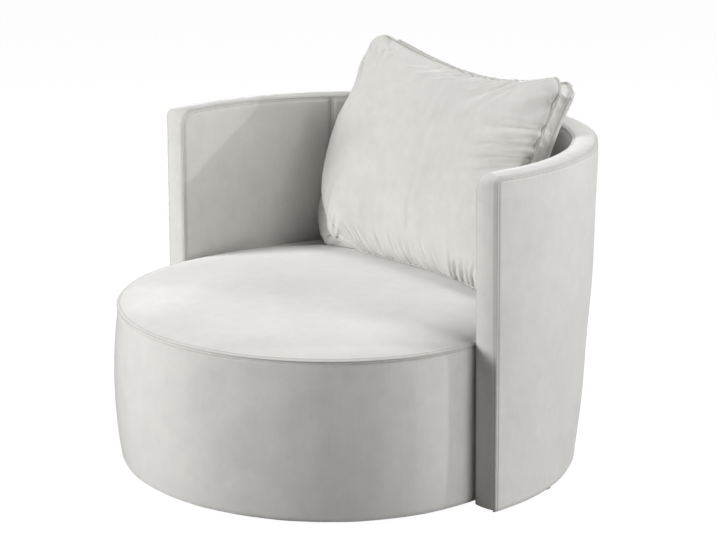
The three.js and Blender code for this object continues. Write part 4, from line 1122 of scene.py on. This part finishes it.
LEFT_TUCK_AT = 0.405
LEFT_TUCK_REACH = 0.060
FRONT_WIDENING = 0.016
WIDENING_AT = 0.400
WIDENING_REACH = 0.150
CORNER_LIFT = 0.030
CORNER_DRAW = 0.028
CORNER_LIFT_WIDE = 0.110
CORNER_LIFT_HIGH = 0.080
SEAT_CLEARANCE = 0.0014
PAD_APPROACH = 0.030
BACK_CLEARANCE = 0.0045
ZIP_CLEARANCE = 0.0008
ZIP_CHANNEL_LENGTH = 0.160
ZIP_CHANNEL_WIDTH = 0.017
ZIP_CHANNEL_END = 0.004
ZIP_CHANNEL_SIDE = 0.003
RIM_ROOM = 0.012
NO_LIMIT = 9.0
BESIDE_SEAM = (0, 0.12, 0.3, 0.5, 0.75, 1.0, 1.3, 1.6, 2.0)
TOP_FAN = dict(start=(-0.130, 0.512), end=(0.235, 0.505), count=15, turns=(-168, -150), onset=0.1,
               lengths=(0.06, 0.17), widths=(0.006, 0.010), depths=(0.0036, 0.0072), seed=3)
MAIN_FOLD = dict(start=(0.165, 0.506), end=(0.175, 0.506), count=1, turns=(-149, -149), onset=0.1,
                 lengths=(0.20, 0.20), widths=(0.015, 0.015), depths=(0.0090, 0.0090), seed=4)
SIDE_FAN = dict(start=(0.345, 0.425), end=(0.322, 0.285), count=6, turns=(-169, -163), onset=0.35,
                lengths=(0.15, 0.27), widths=(0.009, 0.014), depths=(0.0084, 0.0130), seed=9)
CORNER_HOLLOW = dict(start=(0.335, 0.470), end=(0.335, 0.470), count=1, turns=(-140, -140), onset=0.1,
                     lengths=(0.13, 0.13), widths=(0.022, 0.022), depths=(0.0095, 0.0095), seed=6)
LOW_SIDE_FAN = dict(start=(0.315, 0.255), end=(0.312, 0.110), count=5, turns=(-176, 170), onset=0.2,
                    lengths=(0.06, 0.12), widths=(0.008, 0.011), depths=(0.0022, 0.0040), seed=7)
LEFT_FAN = dict(start=(-0.345, 0.520), end=(-0.230, 0.527), count=4, turns=(-45, -95), onset=0.1,
                lengths=(0.05, 0.10), widths=(0.009, 0.012), depths=(0.0022, 0.0040), seed=8)
BOTTOM_TUCKS = dict(start=(0.125, 0.016), end=(0.250, 0.008), count=5, turns=(82, 70), onset=0.05,
                    lengths=(0.05, 0.07), widths=(0.007, 0.009), depths=(0.0070, 0.0090), seed=5)
BOTTOM_GATHERS = dict(start=(-0.290, 0.012), end=(0.115, 0.012), count=32, turns=(136, 112), onset=0.05,
                      lengths=(0.03, 0.08), widths=(0.0042, 0.0060), depths=(0.0018, 0.0040), seed=2)
WELT_RISE = 0.0016
WELT_WIDTH = 0.0024
# How much darker the cushion's pile is painted at its seams: crushed pile and painted shade of the welt's
# groove
WELT_DARK = 0.6
# How dark, and how far above the seat, the cushion's cloth is painted: a painted contact shadow
CONTACT_SHADOW_DARK = 1.0
CONTACT_SHADOW_HEIGHT = 0.006
CUSHION_STITCH = 0.0070
STRIP_WRINKLE = 0.0026
# How much darker the cushion's pile is painted under its stitch rows: crushed pile and painted shade of the
# stitch dimples
STITCH_ROW_DARK = 0.8
CREASE_BEND = 0.06
CREASE_START_WIDTH = 0.5
CREASE_WIDENING = 0.8
CREASE_LEAD = 0.05
RIDGE_PLACE = 1.5
NEAR_RIDGE = 0.7
FAR_RIDGE = 0.35
CREASE_FROM_SEAM = 0.006
GATHER_RISE = 0.0008
GATHER_PITCH = 0.017
GATHER_FADE = 0.018
GATHER_FALL = 1.6
GATHER_START = 0.004
GATHER_STEADY = 0.55
GATHER_SWING = 0.45
GATHER_GROUP = 0.13
WELT_ROLL_DEPTH = 0.0022
WELT_ROLL_REACH = 0.003
STRIP_SLANT = 0.5
STRIP_WRINKLE_PITCH = 0.031
STRIP_WRINKLE_START = 0.015
STRIP_GATHER = 0.0010
STRIP_GATHER_PITCH = 0.019
STRIP_GATHER_REACH = 0.014
STRIP_STEADY = 0.65
STRIP_SWING = 0.35
STRIP_GROUP = 0.22
STITCH_ROW = 5


def cloth_shares(span, fine_steps=4001):
    """Places between two opposite seams, -1 to 1, evenly spaced along the crowned cloth"""
    place = -np.cos(np.linspace(0, np.pi, fine_steps))
    height = CUSHION_CROWN * np.clip(1 - np.abs(place) ** CROWN_POWER, 0, 1) ** CROWN_FULLNESS
    run = np.concatenate([[0], np.cumsum(np.hypot(np.diff(place) * span / 2, np.diff(height)))])
    return np.interp(np.linspace(0, run[-1], round(run[-1] / CLOTH_STEP) + 1), run, place)


across = cloth_shares(CUSHION_WIDTH)
upward = cloth_shares(CUSHION_HEIGHT)
wide = len(across) - 1
tall = len(upward) - 1


def cushion_side(corner_from, corner_to, facing_turn, draw, shares, arc_steps=20, side_steps=200):
    """One side of the cut outline, from the middle of one rounded corner to that of the next"""
    start = facing_turn - np.pi / 2
    arc = np.linspace(np.pi / 4, np.pi / 2, arc_steps)
    first = corner_from + CUSHION_CORNER * np.stack([np.cos(start + arc), np.sin(start + arc)], 1)
    arc = np.linspace(0, np.pi / 4, arc_steps)
    last = corner_to + CUSHION_CORNER * np.stack([np.cos(facing_turn + arc), np.sin(facing_turn + arc)], 1)
    share = np.linspace(0, 1, side_steps)[1:-1, None]
    inward = -np.array([math.cos(facing_turn), math.sin(facing_turn)])
    straight = first[-1] + (last[0] - first[-1]) * share + inward * draw * arch(share)
    path = np.concatenate([first, straight, last])
    run = np.concatenate([[0], np.cumsum(np.linalg.norm(np.diff(path, axis=0), axis=1))])
    places = run[-1] * (1 + shares) / 2
    return np.stack([np.interp(places, run, path[:, 0]), np.interp(places, run, path[:, 1])], 1)


def cut_panel():
    """A panel's cloth as a grid of flat points that fills its outline"""
    half = CUSHION_WIDTH / 2 - CUSHION_CORNER
    low, high = CUSHION_CORNER, CUSHION_HEIGHT - CUSHION_CORNER
    low_right, low_left = np.array((half, low)), np.array((-half, low))
    high_right, high_left = np.array((half, high - RIGHT_SAG)), np.array((-half, high + LEFT_LIFT))
    bottom = cushion_side(low_left, low_right, -np.pi / 2, BOTTOM_DRAW, across)
    right = cushion_side(low_right, high_right, 0.0, RIGHT_DRAW, upward)
    top = cushion_side(high_right, high_left, np.pi / 2, TOP_DRAW, across)[::-1]
    left = cushion_side(high_left, low_left, np.pi, -LEFT_SWELL, upward)[::-1]
    u = (1 + across[:, None, None]) / 2
    v = (1 + upward[None, :, None]) / 2
    edges = ((1 - v) * bottom[:, None] + v * top[:, None] + (1 - u) * left[None] + u * right[None])
    corners = ((1 - u) * (1 - v) * bottom[0] + u * (1 - v) * bottom[-1]
               + (1 - u) * v * top[0] + u * v * top[-1])
    return edges - corners


flat = cut_panel()
dome = np.clip((1 - np.abs(across[:, None]) ** CROWN_POWER)
               * (1 - np.abs(upward[None, :]) ** CROWN_POWER), 0, 1) ** CROWN_FULLNESS
bowed = BOW * (1 - (flat[..., 0] / (CUSHION_WIDTH / 2)) ** 2)
front_grid = np.stack([flat[..., 0], bowed - CUSHION_CROWN * dome, flat[..., 1]], axis=-1)
rear_grid = np.stack([flat[..., 0], bowed + GUSSET + CUSHION_CROWN * dome, flat[..., 1]], axis=-1)


def seam_loop(grid):
    """The points round the edge of a panel's grid, anticlockwise seen from the front"""
    return np.concatenate([grid[:-1, 0], grid[-1, :-1], grid[:0:-1, -1], grid[0, :0:-1]])


def gusset_strip(rows):
    """The boxed strip between the two seams, bulging between them"""
    front, rear = seam_loop(front_grid), seam_loop(rear_grid)
    along = np.roll(front, -1, axis=0) - np.roll(front, 1, axis=0)
    along = along / np.linalg.norm(along, axis=1, keepdims=True)
    out = np.cross(along, (0, 1, 0))
    share = np.linspace(0, 1, rows + 1)[None, :, None]
    return front[:, None] + (rear - front)[:, None] * share + out[:, None] * GUSSET_BULGE * arch(share)


def joined(front, rear, strip):
    """One closed mesh of both panels and the strip: its points, its faces and the ids of each grid"""
    size = front.shape[0] * front.shape[1]
    front_ids = np.arange(size).reshape(front.shape[:2])
    rear_ids = front_ids + size
    around = seam_loop(front_ids[..., None])[:, 0]
    inner = 2 * size + np.arange(len(around) * (strip.shape[1] - 2)).reshape(len(around), -1)
    strip_ids = np.concatenate([around[:, None], inner, around[:, None] + size], axis=1)
    points = np.concatenate([front.reshape(-1, 3), rear.reshape(-1, 3), strip[:, 1:-1].reshape(-1, 3)])

    def quads(ids, ids_on):
        return np.stack([ids[:, :-1], ids_on[:, :-1], ids_on[:, 1:], ids[:, 1:]], axis=-1).reshape(-1, 4)

    faces = np.concatenate([quads(front_ids[:-1], front_ids[1:]),
                            quads(rear_ids[1:], rear_ids[:-1]),
                            quads(np.roll(strip_ids, -1, axis=0), strip_ids)])
    return points, faces.tolist(), front_ids, rear_ids, strip_ids


def cut_larger(grid):
    """The cloth's own size: a little larger than the space it is sewn into, most of all at the seams"""
    beside_top = (1 - np.abs(upward[None, :])) * CUSHION_HEIGHT / 2
    beside_sides = (1 - np.abs(across[:, None])) * CUSHION_WIDTH / 2
    wider = 1 + LOOSENESS + GATHERING * np.exp(-beside_top / GATHER_REACH)
    taller = 1 + LOOSENESS + GATHERING * np.exp(-beside_sides / GATHER_REACH)
    middle = np.array([0, 0, CUSHION_HEIGHT / 2])
    stretch = np.stack([wider + 0 * taller, np.ones(grid.shape[:2]), taller + 0 * wider], axis=-1)
    return middle + (grid - middle) * stretch


def blown_up(points, faces, cut, seams):
    """Where the cloth lies once the filling presses it out between its seams"""
    mesh = bpy.data.meshes.new("cushion_cloth")
    mesh.from_pydata(points.tolist(), [], faces)
    cloth = bpy.data.objects.new("cushion_cloth", mesh)
    scene.collection.objects.link(cloth)
    cloth.shape_key_add(name="Basis")
    own_size = cloth.shape_key_add(name="Cut")
    own_size.data.foreach_set("co", cut.astype(np.float32).ravel())
    cloth.vertex_groups.new(name="seams").add(seams.tolist(), 1.0, "REPLACE")
    sewn = cloth.modifiers.new("cloth", "CLOTH")
    for label, value in CLOTH.items():
        setattr(sewn.settings, label, value)
    sewn.settings.effector_weights.gravity = 0
    sewn.settings.vertex_group_mass = "seams"
    sewn.settings.rest_shape_key = own_size
    sewn.collision_settings.use_collision = False
    sewn.collision_settings.use_self_collision = False
    sewn.point_cache.frame_start = 1
    sewn.point_cache.frame_end = FRAMES
    for frame_number in range(1, FRAMES + 1):
        scene.frame_set(frame_number)
    made = cloth.evaluated_get(bpy.context.evaluated_depsgraph_get())
    blown = np.array([vertex.co for vertex in made.data.vertices])
    scene.frame_set(1)
    bpy.data.objects.remove(cloth)
    moved = blown - points
    length = np.linalg.norm(moved, axis=1, keepdims=True)
    return points + moved * MOTION_CAP * np.tanh(length / MOTION_CAP) / np.maximum(length, 1e-9)


def unevenly_filled(spots):
    """The front's low left corner is drawn up, the rear splays out behind it, the left edge is drawn
    in near the top, and the front reaches further right than the rear"""
    x, y, z = spots.T
    half = CUSHION_WIDTH / 2
    rearward = smooth((y - BOW * (1 - (x / half) ** 2)) / GUSSET)
    at_left = smooth((EDGE_FADE - half - x) / EDGE_FADE)
    at_right = smooth((EDGE_FADE - half + x) / EDGE_FADE)
    corner = dent(x, -half, CORNER_LIFT_WIDE) * dent(z, 0, CORNER_LIFT_HIGH)
    x = x - SPLAY * rearward * at_left * dent(z, SPLAY_AT, SPLAY_REACH)
    x = x + CORNER_DRAW * (1 - rearward) * corner
    x = x + LEFT_TUCK * at_left * dent(z, LEFT_TUCK_AT, LEFT_TUCK_REACH)
    x = x + FRONT_WIDENING * (1 - rearward) * at_right * dent(z, WIDENING_AT, WIDENING_REACH)
    return np.stack([x, y, z + CORNER_LIFT * (1 - rearward) * corner], axis=-1)


gusset_grid = gusset_strip(GUSSET_ROWS)
points, faces, front_ids, rear_ids, strip_ids = joined(front_grid, rear_grid, gusset_grid)
cut, *_ = joined(cut_larger(front_grid), cut_larger(rear_grid), gusset_grid)
seams = np.unique(np.concatenate([strip_ids[:, 0], strip_ids[:, -1]]))
points = blown_up(points, faces, cut, seams)

turned = np.array(Matrix.Rotation(CUSHION_TURN, 3, "Z"))
leaning = turned @ np.array(Matrix.Rotation(CUSHION_LEAN, 3, "X"))
points = points - np.exp(-(points[:, 2:] / SINK_REACH) ** 2) * np.array([0, 0, SINKING])
points = unevenly_filled(points)
points = points @ leaning.T + np.array(CUSHION_PLACE)
zip_low, zip_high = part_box("cushion_zip_tape")
zip_middle = ((np.array(zip_low) + np.array(zip_high)) / 2 - np.array(CUSHION_PLACE)) @ turned


def seat_level(x, y):
    """The height of the seat's cloth at points of the plan"""
    radius = np.hypot(x, y - AXIS_Y)
    column = np.mod(np.arctan2(x, AXIS_Y - y), 2 * np.pi) / (2 * np.pi) * DRUM_COLUMNS
    row = np.interp(radius, seat_radii[0], np.arange(SEAT_ROWS))
    left, low = np.floor(column).astype(int), np.minimum(np.floor(row).astype(int), SEAT_ROWS - 2)
    high = seat_face[..., 2]
    across_share, up_share = column - left, row - low
    left, right = left % DRUM_COLUMNS, (left + 1) % DRUM_COLUMNS
    near = high[left, low] * (1 - across_share) + high[right, low] * across_share
    far = high[left, low + 1] * (1 - across_share) + high[right, low + 1] * across_share
    return near * (1 - up_share) + far * up_share


def rested(spots):
    """Cushion points lifted off the seat and the zip, and held off the back, where they would touch"""
    x, y, z = np.moveaxis(spots, -1, 0)
    over = (spots - np.array(CUSHION_PLACE)) @ turned - zip_middle
    on_zip = (smooth((ZIP_CHANNEL_LENGTH - np.abs(over[..., 0])) / ZIP_CHANNEL_END)
              * smooth((ZIP_CHANNEL_WIDTH - np.abs(over[..., 1])) / ZIP_CHANNEL_SIDE))
    floor = np.maximum(seat_level(x, y) + SEAT_CLEARANCE, (zip_high[2] + ZIP_CLEARANCE) * on_zip)
    over_pad = smooth((np.hypot(x, y - AXIS_Y) - PAD_INNER + PAD_APPROACH) / PAD_APPROACH)
    floor = np.maximum(floor, (PAD_TOP + PAD_CROWN + SEAT_CLEARANCE) * over_pad)
    z = np.maximum(z, floor)
    radius, centre, _ = wall_shape(WALL_THICKNESS, np.minimum(z, RIM_Z))
    away = np.hypot(x, y - AXIS_Y - centre)
    allowed = np.where(z < RIM_Z + RIM_ROOM, radius - BACK_CLEARANCE, NO_LIMIT)
    pull = np.minimum(1, allowed / np.maximum(away, 1e-9))
    return np.stack([x * pull, AXIS_Y + centre + (y - AXIS_Y - centre) * pull, z], axis=-1)


points = rested(points)
front_grid, rear_grid, gusset_grid = points[front_ids], points[rear_ids], points[strip_ids]


def resample(rows, places):
    """Smooth values between rows of points, at fractional row numbers"""
    last = len(rows) - 1
    low = np.clip(np.floor(places).astype(int), 0, last - 1)
    part = (places - low).reshape(-1, *([1] * (rows.ndim - 1)))
    before, here = rows[np.maximum(low - 1, 0)], rows[low]
    after, beyond = rows[low + 1], rows[np.minimum(low + 2, last)]
    return 0.5 * (2 * here + (after - before) * part
                  + (2 * before - 5 * here + 4 * after - beyond) * part ** 2
                  + (3 * here - before - 3 * after + beyond) * part ** 3)


def finer(count):
    """Row numbers with extra rows beside both ends and one more in each space between"""
    near = np.array(BESIDE_SEAM)
    middle = np.arange(near[-1] + 0.5, count - near[-1], 0.5)
    return np.concatenate([near, middle, count - near[::-1]])


wide_places = finer(wide)
tall_places = finer(tall)
strip_places = finer(GUSSET_ROWS)


def refined_panel(grid):
    """A panel's grid with the finer rows both ways"""
    return np.swapaxes(resample(np.swapaxes(resample(grid, wide_places), 0, 1), tall_places), 0, 1)


front_fine = refined_panel(front_grid)
rear_fine = refined_panel(rear_grid)
flat_fine = refined_panel(flat)
loop_places = np.concatenate([wide_places[:-1], wide + tall_places[:-1],
                              wide + tall + (wide - wide_places[:0:-1]),
                              2 * wide + tall + (tall - tall_places[:0:-1])])
strip_fine = np.swapaxes(resample(np.swapaxes(gusset_grid, 0, 1), strip_places), 0, 1)
strip_fine = resample(np.concatenate([strip_fine, strip_fine[:1]]), loop_places)

def crease(flat_points, x, z, turn, length, width, depth, onset):
    """A crease that starts at a seam and runs a way into the panel, growing wider and shallower"""
    turn = math.radians(turn)
    from_x, from_z = flat_points[..., 0] - x, flat_points[..., 1] - z
    along = (from_x * math.cos(turn) + from_z * math.sin(turn)) / length
    bend = CREASE_BEND * length * np.clip(along, 0, 1) ** 2
    aside = from_z * math.cos(turn) - from_x * math.sin(turn) + bend
    spread = width * (CREASE_START_WIDTH + CREASE_WIDENING * np.clip(along, 0, 1))
    fade = smooth((along + CREASE_LEAD) / onset) * np.clip(1 - along, 0, 1)
    valley = -dent(aside, 0, spread)
    near_ridge = dent(aside, RIDGE_PLACE * spread, spread)
    far_ridge = dent(aside, -RIDGE_PLACE * spread, spread)
    return depth * fade * (valley + NEAR_RIDGE * near_ridge + FAR_RIDGE * far_ridge)


def fan(start, end, count, turns, onset, lengths, widths, depths, seed, stray=0.3, turn_stray=5):
    """Creases of uneven length and depth, spaced unevenly along a seam, their direction changing"""
    draw = np.random.default_rng(seed)
    made = []
    for i in range(count):
        share = (i + 0.5 + draw.uniform(-stray, stray)) / count
        x = start[0] + (end[0] - start[0]) * share
        z = start[1] + (end[1] - start[1]) * share
        strayed = draw.uniform(-turn_stray, turn_stray) * (count > 1)
        turn = turns[0] + (turns[1] - turns[0]) * share + strayed
        size = [draw.uniform(*span) for span in (lengths, widths, depths)]
        made.append((x, z, turn, *size, onset))
    return made


creases = []
for values in (TOP_FAN, MAIN_FOLD, SIDE_FAN, CORNER_HOLLOW, LOW_SIDE_FAN, LEFT_FAN, BOTTOM_TUCKS,
               BOTTOM_GATHERS):
    creases += fan(**values)


def beside_seam(grid, step=0.2):
    """How far each point of a panel lies from its seam, and how far round the seam"""
    loop = seam_loop(grid)
    loop = np.concatenate([loop, loop[:1]])
    fine = resample(loop, np.arange(0, len(loop) - 1, step))
    runs = np.concatenate([[0], np.cumsum(np.linalg.norm(np.diff(fine, axis=0), axis=1))])
    tree = KDTree(len(fine))
    for i, point in enumerate(fine):
        tree.insert(point, i)
    tree.balance()
    found = [tree.find(point) for point in grid.reshape(-1, 3)]
    away = np.array([distance for _, _, distance in found]).reshape(grid.shape[:2])
    return away, runs[[index for _, index, _ in found]].reshape(grid.shape[:2])


def panel_rise(grid, away, place, creases, seed):
    """How far a cushion panel's cloth stands off its blown-up form"""
    rise = unevenness(grid, away, height=0.0014, size=0.12, fade=0.05, seed=seed)
    rise = rise + unevenness(grid, away, height=0.0005, size=0.035, fade=0.03, seed=seed + 1)
    for values in creases:
        rise = rise + crease(flat_fine, *values) * smooth(away / CREASE_FROM_SEAM)
    grouped = GATHER_STEADY + GATHER_SWING * ripples(place, GATHER_GROUP, seed + 2)
    gathers = ripples(place, GATHER_PITCH, seed) * grouped
    fading = np.exp(-(away / GATHER_FADE) ** GATHER_FALL)
    rise = rise + GATHER_RISE * gathers * fading * smooth(away / GATHER_START)
    rise = rise + WELT_RISE * dent(away, WELT_WIDTH, WELT_WIDTH)
    return rise - WELT_ROLL_DEPTH * rolled(away, WELT_ROLL_REACH) - sunk(away, CUSHION_STITCH)


front_out = facing(front_fine)
rear_out = -facing(rear_fine)
mirrored = [(-x, z, 180 - turn, *rest) for x, z, turn, *rest in creases]


def panel_crush_and_shade(away):
    """How much darker a cushion panel's pile is drawn at its seam and under its stitches: crushed pile and
    painted shade of the seam's groove
    """
    return WELT_DARK * dent(away, 0, SEAM_LINE) + STITCH_ROW_DARK * dent(away, CUSHION_STITCH, STITCH_LINE)


front_away, front_place = beside_seam(front_fine)
rear_away, rear_place = beside_seam(rear_fine)
front_rise = panel_rise(front_fine, front_away, front_place, creases, seed=51)
rear_rise = panel_rise(rear_fine, rear_away, rear_place, mirrored, seed=57)
front_fine = rested(front_fine + front_out * front_rise[..., None])
rear_fine = rested(rear_fine + rear_out * rear_rise[..., None])

strip_steps = np.linalg.norm(np.diff(strip_fine[:, 0], axis=0, append=strip_fine[:1, 0]), axis=1)
strip_run = (np.cumsum(strip_steps) - strip_steps)[:, None]
strip_share = (strip_places / GUSSET_ROWS)[None, :]
strip_edge = np.minimum(strip_share, 1 - strip_share) * GUSSET
strip_out = -facing(strip_fine, ring=True)
slant = strip_run + STRIP_SLANT * (strip_share - 0.5) * GUSSET
rise = STRIP_WRINKLE * ripples(slant, STRIP_WRINKLE_PITCH, seed=61) * smooth(strip_edge / STRIP_WRINKLE_START)
gathers = ripples(strip_run, STRIP_GATHER_PITCH, seed=63)
rise = rise + STRIP_GATHER * gathers * dent(strip_edge, 0, STRIP_GATHER_REACH)
rise = rise * (STRIP_STEADY + STRIP_SWING * ripples(strip_run, STRIP_GROUP, seed=65))
rise = rise + WELT_RISE * dent(strip_edge, WELT_WIDTH, WELT_WIDTH)
rise = rise - WELT_ROLL_DEPTH * rolled(strip_edge, WELT_ROLL_REACH)
strip_fine = rested(strip_fine + strip_out * rise[..., None])
strip_fine[:, 0] = seam_loop(front_fine)
strip_fine[:, -1] = seam_loop(rear_fine)

points, faces, *_ = joined(front_fine, rear_fine, strip_fine)


def painted_contact_shadow(spots):
    """How dark the cushion's cloth is painted just above the seat: a painted contact shadow where it rests
    there
    """
    height = spots[..., 2] - seat_level(spots[..., 0], spots[..., 1])
    return CONTACT_SHADOW_DARK * smooth((CONTACT_SHADOW_HEIGHT - height) / CONTACT_SHADOW_HEIGHT)


# The strip's seams are painted darker: crushed pile and painted shade of the welt's groove
strip_crush_and_shade = WELT_DARK * dent(strip_edge, 0, SEAM_LINE) + 0 * strip_run
# Darkening painted into the cushion's pile: a painted contact shadow where it rests on the seat, and crushed
# pile with painted seam shade at its seams and stitch rows
pressed = [np.maximum(painted_contact_shadow(front_fine), panel_crush_and_shade(front_away)),
           np.maximum(painted_contact_shadow(rear_fine), panel_crush_and_shade(rear_away)),
           np.maximum(painted_contact_shadow(strip_fine), strip_crush_and_shade)[:, 1:-1]]
cushion_nap = (60.0, 60.0, 20.0)
cushion = closed_piece("back_cushion", points, faces, np.concatenate([part.ravel() for part in pressed]),
                       velvet("velvet_cushion", cushion_nap))
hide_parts("cushion_front_panel", "cushion_back_panel", "cushion_gusset", "cushion_filling")
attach(cushion, "back_cushion")

inner = slice(STITCH_ROW, -STITCH_ROW)
cushion_rows = [(seam_loop(grid[inner, inner]), seam_loop(out[inner, inner]), True)
                for grid, out in ((front_fine, front_out), (rear_fine, rear_out))]
sew("cushion_topstitching", cushion_rows, "back_cushion", seed=13)

# The zip. A coil zip on woven tape is sewn into the underside of the cushion's strip, and a small
# nickel slider runs along it.
TAPE_DARK = (0.50, 0.485, 0.455, 1)
TAPE_PALE = (0.66, 0.645, 0.61, 1)

dress("cushion_zip_tape",
      finished("zip_tape", twill, {"Dark": TAPE_DARK, "Pale": TAPE_PALE, "Scale": 700},
               bump_strength=0.6, bump_distance=0.0005))
dress("cushion_zip_slider",
      finished("nickel_slider", speckle, {"Plain": ZINC_LIGHT, "Worn": ZINC_DARK, "Fine": 400, "Broad": 90,
               "Smooth": 0.22, "Rough": 0.42}, bump_strength=0.15, bump_distance=0.0002, Metallic=1.0))
